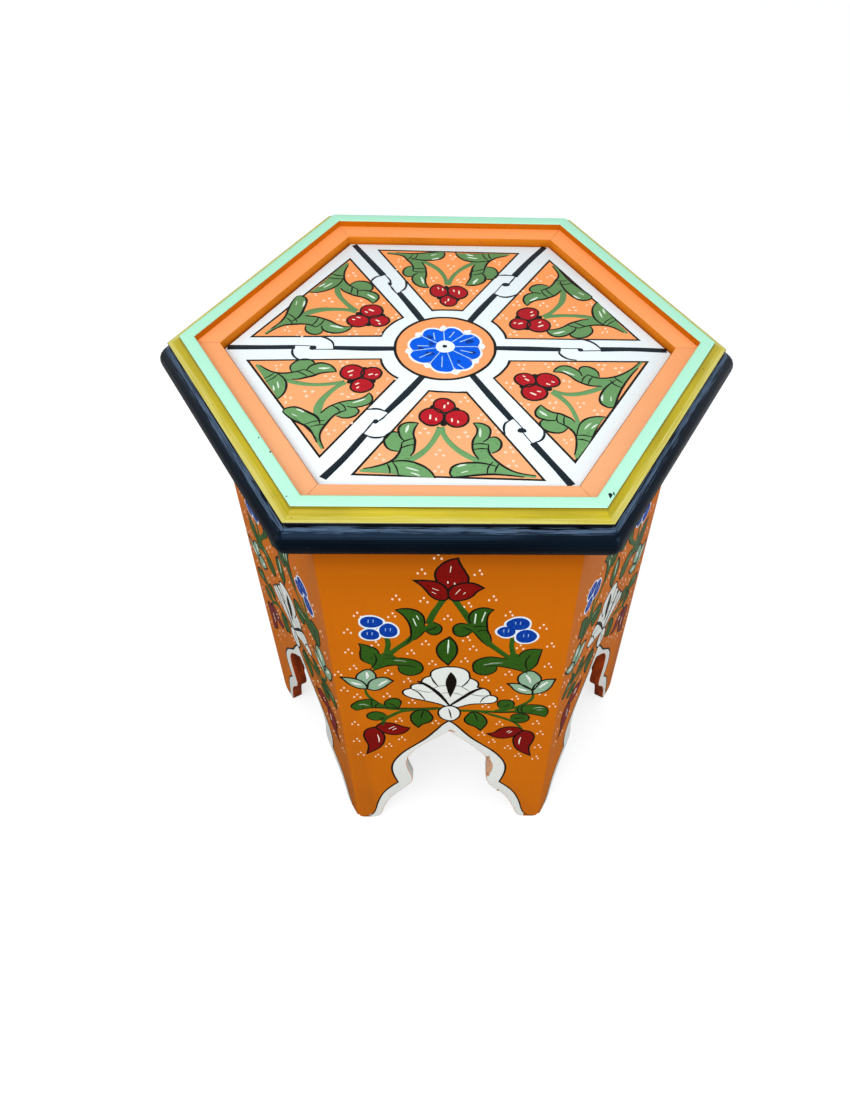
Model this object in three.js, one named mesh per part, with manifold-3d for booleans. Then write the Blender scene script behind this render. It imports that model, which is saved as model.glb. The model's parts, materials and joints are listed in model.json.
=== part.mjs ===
// A painted hexagonal stool: six arched boards, a framed and moulded top, and the blocks,
// cleats, screws and pins that hold them together.
// Millimetres, +Z up, origin on the floor under the middle, front board facing -Y.

import * as THREE from 'three';
import { mergeVertices } from 'three/addons/utils/BufferGeometryUtils.js';
import Module from 'manifold-3d';

const wasm = await Module();
wasm.setup();

// The hexagon
const side_count = 6;
const side_turn = (2 * Math.PI) / side_count;
const mitre_angle = side_turn / 2;
const front_angle = -Math.PI / 2;

// Gaps between neighbouring pieces
const glue_gap = 0.3;
const hole_clearance = 0.4;

// The whole stool, and the stack that makes its height
const stool_height = 450;
const ledge_drop = 5.4;
const field_drop = 5.4;
const field_thickness = 1.7;
const frame_height = ledge_drop + field_drop + field_thickness;
const core_thickness = 19.5;
const board_height = stool_height - frame_height - core_thickness;
const core_top = board_height + core_thickness;

// The side boards
const body_across_flats = 307;
const body_apothem = body_across_flats / 2;
const board_thickness = 10;
const board_inner_apothem = body_apothem - board_thickness;

// The arch cut out of each board, half a width each side of its middle line
const arch_height = 166;
const arch_half_width = 73.6;
const foot_flat = 10;
const foot_corner_height = 12;

// Each row is two handles and an end, as shares of the half width and the height of the arch
const deep_arch_shares = [
  [[0.177, 0.922], [0.51, 0.807], [0.51, 0.675]],
  [[0.51, 0.59], [0.462, 0.554], [0.448, 0.488]],
  [[0.448, 0.422], [0.598, 0.361], [0.679, 0.301]],
  [[0.774, 0.247], [0.842, 0.157], [0.876, 0.078]],
  [[0.897, 0.03], [0.938, 0], [1, 0]],
];
const shallow_arch_shares = [
  [[0.163, 0.922], [0.367, 0.807], [0.428, 0.747]],
  [[0.469, 0.705], [0.455, 0.639], [0.455, 0.554]],
  [[0.455, 0.458], [0.516, 0.386], [0.625, 0.343]],
  [[0.747, 0.277], [0.815, 0.181], [0.876, 0.078]],
  [[0.897, 0.03], [0.938, 0], [1, 0]],
];
const arch_steps = 6;
const corner_steps = 4;

// The moulded frame round the top, from its inner wall outwards
const ledge_inner_apothem = 140;
const ledge_width = 15;
const land_width = 9;
const land_edge = 1;
const cove_width = 8.4;
const quirk_height = 3.5;
const cove_steps = 6;
const land_inner_apothem = ledge_inner_apothem + ledge_width;
const land_outer_apothem = land_inner_apothem + land_width;
const cove_outer_apothem = land_outer_apothem + cove_width;

// The nosing, whose round edge stands out past the cove. The frame is rebated over its back.
const nosing_reach = 7.6;
const nosing_width = 20;
const nosing_thickness = 22.5;
const nosing_top = board_height + nosing_thickness;
const nosing_steps = 14;
const nosing_outer_apothem = cove_outer_apothem + nosing_reach;
const core_apothem = nosing_outer_apothem - nosing_width;

// The boards glued edge to edge under the top
const plank_names = ['front', 'middle', 'back'];
const plank_width = (2 * core_apothem) / plank_names.length;

// The blocks in the six corners and the cleats between them
const block_leg = 26;
const block_height = 180;
const cleat_height = 22;
const cleat_depth = 18;
const cleat_bottom = board_height - cleat_height;

// The screws that go up through the cleats, two to a cleat
const screw_length = 35;
const screw_radius = 2;
const screw_head_radius = 4;
const screw_head_height = 2.6;
const screw_tip = 5;
const screw_spread_share = 0.62;

// The pins down through the ledge, two to a rail
const pin_length = 23;
const pin_radius = 1.2;
const pin_spread = 47.5;
const round_steps = 12;

// Painted and bare surfaces
const white_paint = new THREE.MeshStandardMaterial({ name: 'white_paint', color: 0xf0f6f8, roughness: 0.35 });
const frame_paint = new THREE.MeshStandardMaterial({ name: 'frame_paint', color: 0xf0a060, roughness: 0.35 });
const navy_paint = new THREE.MeshStandardMaterial({ name: 'navy_paint', color: 0x1b2838, roughness: 0.2 });
const orange_paint = new THREE.MeshStandardMaterial({ name: 'orange_paint', color: 0xc46a00, roughness: 0.3 });
const bare_wood = new THREE.MeshStandardMaterial({ name: 'bare_wood', color: 0xa87848, roughness: 0.7 });
const steel = new THREE.MeshStandardMaterial({ name: 'steel', color: 0xa0a4a8, roughness: 0.4, metalness: 1 });

// Solids

function solid_from(geometry) {
  const bare = geometry.clone();
  bare.deleteAttribute('normal');
  bare.deleteAttribute('uv');
  const merged = mergeVertices(bare);
  const corners = merged.index.array;
  const kept = [];
  for (let i = 0; i < corners.length; i += 3) {
    const [a, b, c] = [corners[i], corners[i + 1], corners[i + 2]];
    if (a !== b && b !== c && c !== a) kept.push(a, b, c);
  }
  return new wasm.Manifold(new wasm.Mesh({
    numProp: 3,
    vertProperties: new Float32Array(merged.attributes.position.array),
    triVerts: new Uint32Array(kept),
  }));
}

function geometry_from(solid) {
  const mesh = solid.getMesh();
  const geometry = new THREE.BufferGeometry();
  geometry.setAttribute('position', new THREE.BufferAttribute(new Float32Array(mesh.vertProperties), 3));
  geometry.setIndex(Array.from(mesh.triVerts));
  geometry.computeVertexNormals();
  return geometry;
}

function cut(geometry, cutters) {
  let solid = solid_from(geometry);
  for (const cutter of cutters) solid = solid.subtract(solid_from(cutter));
  return geometry_from(solid);
}

function common(first, second) {
  return geometry_from(solid_from(first).intersect(solid_from(second)));
}

function prism(shape, bottom, height, curve_steps) {
  const geometry = new THREE.ExtrudeGeometry(shape, {
    depth: height, bevelEnabled: false, curveSegments: curve_steps,
  });
  return geometry.translate(0, 0, bottom);
}

function hexagon(apothem) {
  const radius = apothem / Math.cos(mitre_angle);
  const corners = [];
  for (let k = 0; k < side_count; k += 1) {
    corners.push(new THREE.Vector2(radius * Math.cos(k * side_turn), radius * Math.sin(k * side_turn)));
  }
  return new THREE.Shape(corners);
}

// A bar along one side of the hexagon: its section lies across the side, X out and Y up,
// and both ends are cut to the mitre
function mitred_bar(section, curve_steps) {
  const geometry = prism(section, 0, 1, curve_steps);
  const cut_back = glue_gap / 2 / Math.cos(mitre_angle);
  const place = geometry.attributes.position;
  for (let i = 0; i < place.count; i += 1) {
    const apothem = place.getX(i);
    const end = 1 - 2 * place.getZ(i);
    place.setXYZ(i, apothem, end * (apothem * Math.tan(mitre_angle) - cut_back), place.getY(i));
  }
  geometry.computeVertexNormals();
  return geometry;
}

function turned(profile) {
  const points = profile.map(([radius, height]) => new THREE.Vector2(radius, height));
  return new THREE.LatheGeometry(points, round_steps).rotateX(Math.PI / 2);
}

// Side boards

function arch_point([across, up], hand) {
  return [hand * across * arch_half_width, up * arch_height];
}

function board_outline(left_shares, right_shares) {
  const half_width = body_apothem * Math.tan(mitre_angle);
  const flat_end = arch_half_width + foot_flat;
  const shape = new THREE.Shape();
  shape.moveTo(0, arch_height);
  for (const row of right_shares) {
    shape.bezierCurveTo(...row.flatMap((point) => arch_point(point, 1)));
  }
  shape.lineTo(flat_end, 0);
  shape.quadraticCurveTo(half_width, 0, half_width, foot_corner_height);
  shape.lineTo(half_width, board_height);
  shape.lineTo(-half_width, board_height);
  shape.lineTo(-half_width, foot_corner_height);
  shape.quadraticCurveTo(-half_width, 0, -flat_end, 0);
  shape.lineTo(-arch_half_width, 0);
  for (let i = left_shares.length - 1; i >= 0; i -= 1) {
    const start = i > 0 ? left_shares[i - 1][2] : [0, 1];
    const [near, far] = left_shares[i];
    shape.bezierCurveTo(...[far, near, start].flatMap((point) => arch_point(point, -1)));
  }
  return shape;
}

function rectangle(left, bottom, width, height) {
  return new THREE.Shape([
    new THREE.Vector2(left, bottom),
    new THREE.Vector2(left + width, bottom),
    new THREE.Vector2(left + width, bottom + height),
    new THREE.Vector2(left, bottom + height),
  ]);
}

function side_board(left_shares, right_shares) {
  const blank = mitred_bar(rectangle(board_inner_apothem, 0, board_thickness, board_height), 1);
  const sawn = prism(board_outline(left_shares, right_shares), 0, body_apothem, arch_steps);
  const across = new THREE.Vector3(0, 1, 0);
  const up = new THREE.Vector3(0, 0, 1);
  const out = new THREE.Vector3(1, 0, 0);
  sawn.applyMatrix4(new THREE.Matrix4().makeBasis(across, up, out));
  sawn.translate(board_thickness, 0, 0);
  return common(blank, sawn);
}

// Top

function frame_section() {
  const ledge_top = stool_height - ledge_drop;
  const cove_start = stool_height - land_edge;
  const cove_end = nosing_top + quirk_height;
  const shape = new THREE.Shape();
  shape.moveTo(ledge_inner_apothem, core_top);
  shape.lineTo(core_apothem, core_top);
  shape.lineTo(core_apothem, nosing_top);
  shape.lineTo(cove_outer_apothem, nosing_top);
  shape.lineTo(cove_outer_apothem, cove_end);
  shape.absellipse(
    cove_outer_apothem, cove_start, cove_width, cove_start - cove_end,
    -Math.PI / 2, Math.PI, true,
  );
  shape.lineTo(land_outer_apothem, stool_height);
  shape.lineTo(land_inner_apothem, stool_height);
  shape.lineTo(land_inner_apothem, ledge_top);
  shape.lineTo(ledge_inner_apothem, ledge_top);
  return shape;
}

function nosing_section() {
  const radius = nosing_thickness / 2;
  const inner = core_apothem + glue_gap;
  const centre = nosing_outer_apothem - radius;
  const shape = new THREE.Shape();
  shape.moveTo(inner, board_height);
  shape.lineTo(centre, board_height);
  shape.absarc(centre, board_height + radius, radius, -Math.PI / 2, Math.PI / 2, false);
  shape.lineTo(inner, nosing_top);
  return shape;
}

// Blocks, cleats, screws and pins, placed in the frame of one side: X out, Y along the side

function corner_block() {
  const inner_corner = (board_inner_apothem - glue_gap) / Math.cos(mitre_angle);
  const shape = new THREE.Shape();
  shape.moveTo(inner_corner, 0);
  shape.lineTo(inner_corner - block_leg * Math.sin(mitre_angle), block_leg * Math.cos(mitre_angle));
  shape.lineTo(inner_corner - block_leg * Math.sin(mitre_angle), -block_leg * Math.cos(mitre_angle));
  return prism(shape, board_height - block_height, block_height, 1);
}

const cleat_outer = board_inner_apothem - glue_gap;
const cleat_half_length = cleat_outer * Math.tan(mitre_angle) - block_leg - glue_gap;
const screw_apothem = cleat_outer - cleat_depth / 2;
const screw_places = [-1, 1].map((hand) => [screw_apothem, hand * screw_spread_share * cleat_half_length]);
const pin_apothem = ledge_inner_apothem + ledge_width / 2;
const pin_places = [-1, 1].map((hand) => [pin_apothem, hand * pin_spread]);

function screw(growth) {
  return turned([
    [0, -growth],
    [screw_head_radius + growth, -growth],
    [screw_head_radius + growth, 0],
    [screw_radius + growth, screw_head_height],
    [screw_radius + growth, screw_length - screw_tip + growth],
    [0, screw_length + growth],
  ]).translate(0, 0, cleat_bottom);
}

function pin(growth) {
  const top = stool_height - ledge_drop;
  return turned([
    [0, top - pin_length - growth],
    [pin_radius + growth, top - pin_length - growth],
    [pin_radius + growth, top + growth],
    [0, top + growth],
  ]);
}

function holes(make, places) {
  return places.map(([out, along]) => make(hole_clearance).translate(out, along, 0));
}

function cleat() {
  const outline = rectangle(
    cleat_outer - cleat_depth, -cleat_half_length, cleat_depth, 2 * cleat_half_length,
  );
  return cut(prism(outline, cleat_bottom, cleat_height, 1), holes(screw, screw_places));
}

function all_top_holes() {
  const cutters = [];
  for (let k = 0; k < side_count; k += 1) {
    const ring = [...holes(screw, screw_places), ...holes(pin, pin_places)];
    for (const hole of ring) cutters.push(hole.rotateZ(front_angle + k * side_turn));
  }
  return cutters;
}

function plank(index) {
  const whole = prism(hexagon(core_apothem), board_height, core_thickness, 1);
  const corner = core_apothem / Math.cos(mitre_angle);
  const front_edge = -core_apothem + index * plank_width;
  const strip = prism(rectangle(-corner, front_edge, 2 * corner, plank_width), 0, stool_height, 1);
  return cut(common(whole, strip), all_top_holes());
}

// Assembly

function add(group, name, geometry, material) {
  const mesh = new THREE.Mesh(geometry, material);
  mesh.name = name;
  group.add(mesh);
  return mesh;
}

function add_fasteners(group, name, make, places, side_number, material) {
  places.forEach(([out, along], index) => {
    const number = (side_number - 1) * places.length + index + 1;
    add(group, `${name}_${number}`, make(0), material).position.set(out, along, 0);
  });
}

const stool = new THREE.Group();

for (let k = 0; k < side_count; k += 1) {
  const number = k + 1;
  const side = new THREE.Group();
  side.rotation.z = front_angle + k * side_turn;
  const right_shares = k === 0 ? shallow_arch_shares : deep_arch_shares;
  add(side, `side_board_${number}`, side_board(deep_arch_shares, right_shares), orange_paint);
  add(side, `frame_rail_${number}`,
    cut(mitred_bar(frame_section(), cove_steps), holes(pin, pin_places)), frame_paint);
  add(side, `nosing_${number}`, mitred_bar(nosing_section(), nosing_steps), navy_paint);
  add(side, `top_cleat_${number}`, cleat(), bare_wood);
  add_fasteners(side, 'cleat_screw', screw, screw_places, number, steel);
  add_fasteners(side, 'frame_pin', pin, pin_places, number, steel);
  stool.add(side);

  const corner = new THREE.Group();
  corner.rotation.z = side.rotation.z + mitre_angle;
  add(corner, `corner_block_${number}`, corner_block(), bare_wood);
  stool.add(corner);
}

plank_names.forEach((name, index) => add(stool, `top_plank_${name}`, plank(index), bare_wood));

const field_outline = hexagon(ledge_inner_apothem - glue_gap);
add(stool, 'field_panel', prism(field_outline, core_top, field_thickness, 1), white_paint);

export default stool;
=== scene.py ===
"""A painted hexagonal kursi stool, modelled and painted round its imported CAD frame.

Laid out as an add-on and run as a script. Metres, +Z up, front board facing -Y.
Tables of painted shapes are in millimetres on the surface that carries them.
"""
import json
import math
from contextlib import contextmanager
from functools import partial

import bpy
from bpy.props import FloatProperty, FloatVectorProperty, PointerProperty
from mathutils import Matrix, Vector

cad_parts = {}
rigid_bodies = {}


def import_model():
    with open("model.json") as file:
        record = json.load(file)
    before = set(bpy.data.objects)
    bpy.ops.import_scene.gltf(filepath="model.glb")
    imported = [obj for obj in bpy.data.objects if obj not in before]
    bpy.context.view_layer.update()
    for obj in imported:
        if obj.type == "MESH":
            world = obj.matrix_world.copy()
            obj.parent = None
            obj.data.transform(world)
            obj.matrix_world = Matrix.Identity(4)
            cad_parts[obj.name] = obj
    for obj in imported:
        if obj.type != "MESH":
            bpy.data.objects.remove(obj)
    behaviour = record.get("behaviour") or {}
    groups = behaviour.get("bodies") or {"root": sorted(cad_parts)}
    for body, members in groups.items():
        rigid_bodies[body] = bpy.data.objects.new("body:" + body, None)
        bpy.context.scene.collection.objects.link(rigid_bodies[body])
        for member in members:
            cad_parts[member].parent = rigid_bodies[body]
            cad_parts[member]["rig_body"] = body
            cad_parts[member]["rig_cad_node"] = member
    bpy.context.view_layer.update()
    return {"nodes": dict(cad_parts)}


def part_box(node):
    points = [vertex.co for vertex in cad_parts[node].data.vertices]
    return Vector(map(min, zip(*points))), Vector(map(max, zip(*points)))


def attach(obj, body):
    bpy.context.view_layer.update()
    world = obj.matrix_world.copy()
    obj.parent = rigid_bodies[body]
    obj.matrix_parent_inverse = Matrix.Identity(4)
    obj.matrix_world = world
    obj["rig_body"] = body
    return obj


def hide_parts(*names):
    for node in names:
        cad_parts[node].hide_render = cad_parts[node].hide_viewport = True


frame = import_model()

bl_info = {
    "name": "Painted kursi stool",
    "version": (1, 0, 0),
    "blender": (4, 5, 0),
    "location": "3D View > Sidebar > Kursi",
    "description": "Models and paints a hexagonal kursi stool round its frame",
    "category": "Add Mesh",
}

MM = 0.001
SIDES = range(1, 7)
SIDE_TURN = math.radians(60)
CORNER_REACH = 1 / math.cos(SIDE_TURN / 2)

# Where the CAD pieces stand
BOARD_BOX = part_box("side_board_1")
FIELD_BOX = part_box("field_panel")
NOSING_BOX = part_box("nosing_1")
BOARD_APOTHEM, BOARD_TOP = -BOARD_BOX[0].y, BOARD_BOX[1].z
FIELD_BOTTOM, FIELD_TOP = FIELD_BOX[0].z, FIELD_BOX[1].z
NOSING_BOTTOM, NOSING_TOP = NOSING_BOX[0].z, NOSING_BOX[1].z
NOSING_APOTHEM = -NOSING_BOX[0].y
RIM_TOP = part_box("frame_rail_1")[1].z

# The steps of the moulding in millimetres: out from the stool's middle, then down from its top,
# and up from the nosing
LEDGE_IN, LEDGE_OUT, LAND_OUT, COVE_OUT, RAIL_BACK = 140.0, 155.0, 164.0, 172.4, 159.5
LEDGE_DROP, COVE_DROP, COVE_RISE = 5.4, 1, 3.5
QUIRK_DEPTH, QUIRK_DROP = 0.8, 0.6
ARRIS, FINE_ARRIS = 0.4, 0.3

# Other millimetres: the nosing's inner edge, the field's edge beside the rim, the half width and
# height that hold an arch, how far up its sawn edge is finished, and the dab on a pin
NOSING_BACK, NOSING_STEPS = 160.3, 14
FIELD_EDGE = 138.2
ARCH_REACH, ARCH_TOP, CUT_TOP = 74, 170, 168
PIN_DAB = 1.5

# The bead in a corner, from where two boards' faces would meet: one side of its section, inwards
# and across, then its nose, and its foot above the floor
SEAM_SIDE = ((1.8, 1.3), (1.11, 1.95), (0.64, 1.0), (0.44, 0.4))
SEAM_NOSE, SEAM_FOOT = 0.42, 11


# Colours


def linear(code):
    """The linear colour of an sRGB hex code."""
    shares = [int(code[i:i + 2], 16) / 255 for i in (1, 3, 5)]
    return tuple(
        c / 12.92 if c <= 0.04045 else ((c + 0.055) / 1.055) ** 2.4 for c in shares
    )


def solid(code):
    """The linear colour of an sRGB hex code, as the four numbers that a socket takes."""
    return linear(code) + (1.0,)


def tone(colour, share):
    """The colour made darker or lighter by a share, as four numbers."""
    return tuple(min(1.0, c * share) for c in colour) + (1.0,)


def pot(name, code, description):
    """A paint colour that a user can change in the panel."""
    return FloatVectorProperty(
        name=name, description=description, subtype="COLOR", size=3, min=0.0, max=1.0,
        default=linear(code),
    )


def length(name, value, description):
    """A size in metres that a user can change in the panel."""
    return FloatProperty(
        name=name, description=description, unit="LENGTH", precision=5, min=0.0, default=value
    )


class KursiSizes(bpy.types.PropertyGroup):
    """Sizes of the finish, which the CAD frame doesn't carry."""

    coat: length("Coat", 0.04 * MM, "Thickness of one coat of paint")
    outline: length("Outline", 1.6 * MM, "Width of the brush line round a painted shape")
    softness: length("Softness", 0.7 * MM, "How far paint and sanding round the edges of a board")
    waver: length("Waver", 0.6 * MM, "How far the hand strays between one panel and the next")
    nosing_corner: length("Nosing corner", 3.0 * MM, "Rounding of the corners of the nosing")
    rim_corner: length("Rim corner", 0.5 * MM, "Rounding of the corners of the moulding")


class KursiColours(bpy.types.PropertyGroup):
    """Colours of the enamels and the wood."""

    orange: pot("Orange", "#CE6B00", "Ground of the side boards")
    # The two upright walls of the rim take darker oranges than the ledge's apricot as painted
    # shade; the inner one is a little lighter, as painted bounce light from the white field
    step_orange: pot("Step orange", "#C46400", "Upright wall between the ledge and the land")
    inner_orange: pot("Inner orange", "#D87816", "Upright wall between the field and the ledge")
    apricot: pot("Apricot", "#FFB27A", "Ledge, cartouches and roundel of the top")
    mint: pot("Mint", "#B9F5D8", "Flat land round the top")
    olive: pot("Olive", "#BDAA1C", "Cove under the land")
    navy: pot("Navy", "#060D14", "Nosing")
    # The quirk line is partly dark paint and partly painted shadow in the groove under the cove
    quirk_black: pot("Quirk black", "#08090B", "Line between cove and nosing")
    field_white: pot("Field white", "#F2FBFF", "Ground of the top")
    band_white: pot("Band white", "#E6E7E1", "Band and cut edge of the arches")
    top_black: pot("Top black", "#19252E", "Knotted bars of the top")
    line_black: pot("Line black", "#1C1A16", "Outlines of the top")
    side_black: pot("Side black", "#150E08", "Outlines of the side boards")
    top_green: pot("Top green", "#74A86C", "Leaves of the top")
    side_green: pot("Side green", "#2F5A12", "Leaves and stems of the side boards")
    pale_green: pot("Pale green", "#90B293", "Small three petalled flowers")
    cherry: pot("Cherry", "#C61B28", "Cherries of the top")
    tulip_red: pot("Tulip red", "#820B06", "Red flowers of the side boards")
    flower_blue: pot("Flower blue", "#005FEC", "Petals of the roundel")
    deep_blue: pot("Deep blue", "#00389C", "Berries and the shadows of the petals")
    pale_blue: pot("Pale blue", "#E2EEF6", "Outlines and lights on blue paint")
    palmette: pot("Palmette", "#E9EBE5", "White palmettes and beads")
    cream: pot("Cream", "#FFF2DC", "Lights on red and green paint")
    peach: pot("Peach", "#FFDCC0", "Dots in threes")
    fold_grey: pot("Fold grey", "#5A605A", "Folds of the palmettes")
    light_green: pot("Light green", "#E2F3E0", "Lights on green paint")
    dull_light: pot("Dull light", "#8FA085", "Thin lights on the lower leaves")
    berry_light: pot("Berry light", "#A9C6F2", "Lights on the berries")
    petal_light: pot("Petal light", "#B6E0FC", "Lights on the blue petals")
    bare_chip: pot("Bare chip", "#C99A78", "Wood that shows where the band is chipped")
    stain: pot("Stain", "#983600", "Stained wood inside")
    mitre: pot("Mitre", "#E2935A", "Line where two rails of the ledge meet")


# Materials


# Each enamel's roughness and sheen, the width and length in millimetres of its brush marks, how
# deep its light and dark streaks are, and the colour and share of the specks that use has left
ENAMELS = {
    "orange": (0.4, 0.06, 1.6, 90, 0.05, "#A65A04", 0.25),
    "step_orange": (0.5, 0.05, 1.2, 60, 0.15, "#8A4300", 0.3),
    "inner_orange": (0.5, 0.05, 1.2, 60, 0.15, "#B05A08", 0.3),
    "apricot": (0.42, 0.35, 1.4, 60, 0.04, "#E0935A", 0.26),
    "mint": (0.4, 0.4, 1.4, 60, 0.03, "#8FB8A4", 0.24),
    "olive": (0.38, 0.2, 0.6, 45, 0.28, "#8A7410", 0.29),
    "navy": (0.19, 0.19, 0.8, 24, 0.4, "#152234", 0.3),
    "quirk_black": (0.3, 0.3, 0.9, 60, 0.3, "#23262B", 0.3),
    "field_white": (0.45, 0.25, 1.6, 60, 0.02, "#E4E0D4", 0.24),
    "band_white": (0.42, 0.22, 1.2, 30, 0.05, "#D8B49C", 0.33),
    "top_black": (0.4, 0.12, 0.9, 12, 0.3, "#2C3842", 0.3),
    "line_black": (0.4, 0.1, 0.9, 12, 0.3, "#2E2C26", 0.3),
    "side_black": (0.4, 0.1, 0.9, 12, 0.3, "#3A2410", 0.3),
    "top_green": (0.4, 0.12, 1.0, 14, 0.14, "#5C8F56", 0.36),
    "side_green": (0.36, 0.12, 1.0, 14, 0.22, "#1E4208", 0.38),
    "pale_green": (0.38, 0.18, 1.0, 12, 0.1, "#7DA284", 0.36),
    "cherry": (0.36, 0.08, 1.0, 10, 0.16, "#98121C", 0.38),
    "tulip_red": (0.34, 0.08, 1.0, 14, 0.2, "#5A0402", 0.36),
    "flower_blue": (0.4, 0.05, 1.1, 12, 0.16, "#0056D0", 0.44),
    "deep_blue": (0.38, 0.08, 1.0, 10, 0.2, "#0858A6", 0.4),
    "pale_blue": (0.4, 0.22, 0.8, 8, 0.06, "#A8C8EA", 0.34),
    "palmette": (0.4, 0.22, 1.1, 20, 0.04, "#CBB79E", 0.3),
    "cream": (0.4, 0.22, 0.8, 6, 0.05, "#E8D2B4", 0.3),
    "peach": (0.4, 0.22, 0.8, 6, 0.05, "#F0B890", 0.3),
    "fold_grey": (0.4, 0.22, 0.8, 6, 0.2, "#B8BCB4", 0.4),
    "light_green": (0.4, 0.22, 0.8, 6, 0.1, "#A8C088", 0.36),
    "dull_light": (0.4, 0.22, 0.8, 6, 0.25, "#5E7A50", 0.45),
    "berry_light": (0.4, 0.22, 0.8, 6, 0.15, "#5E82D0", 0.36),
    "petal_light": (0.4, 0.22, 0.8, 6, 0.1, "#7CB2F6", 0.4),
    "bare_chip": (0.6, 0.22, 0.5, 14, 0.25, "#8A5A38", 0.42),
    "mitre": (0.45, 0.2, 0.6, 12, 0.15, "#CC7C44", 0.4),
}
# Enamels that are brushed up and down, and the tint of a gloss that isn't white
UPRIGHT = ("orange", "band_white")
GLINTS = {"navy": "#8FC0FF"}
# Painted light and shade by height: the heights in millimetres between which an enamel turns to
# another colour. Olive is painted darker in the cove's steep top as painted shade, and paler at
# its upturned foot as a painted highlight. Navy has a painted highlight, a pale band along its
# upper edge, under a black line that is partly dark paint and partly painted shadow. Orange is
# painted darker under the rim, as the rim's painted shadow
PAINTED_SHADING = {
    "olive": ((446.8, 448.8, "#857210"), (445.0, 444.0, "#D3C86A")),
    "navy": ((438.4, 439.3, "#4E6178"), (439.7, 440.2, "#060708")),
    "orange": ((320, 385, "#C26400"), (378, 396, "#AC5400")),
}
FADE_WAVER = 2.5 * MM
# Painted light on the top: its enamels are painted paler towards the front, where light and sheen
# fall on them, and deepen to these colours towards the back, between two places in millimetres
FALLOFF_FRONT, FALLOFF_BACK = -120, 80
PAINTED_FALLOFF = {
    "apricot": "#FF9A52", "mint": "#ADE9CA", "top_green": "#628B54", "cherry": "#AE141E",
}
BRUSH = "brush"
BRISTLE_DEPTH = 0.06 * MM
SPECK_SIZE = 2.2 * MM
PATCH_SIZE = 45 * MM
GRAIN_DEPTH = 0.15 * MM
TURNING_MARK = 0.8 * MM


def add_node(tree, kind, settings=None, links=None):
    """Adds one node, sets its properties or input values, and links its inputs."""
    made = tree.nodes.new(kind)
    for key, value in (settings or {}).items():
        if isinstance(key, str) and hasattr(made, key):
            setattr(made, key, value)
        else:
            made.inputs[key].default_value = value
    for key, source in (links or {}).items():
        tree.links.new(source, made.inputs[key])
    return made


def new_material(name):
    """An empty node material and its node tree."""
    material = bpy.data.materials.new(name)
    material.use_nodes = True
    material.node_tree.nodes.clear()
    return material, material.node_tree


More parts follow.
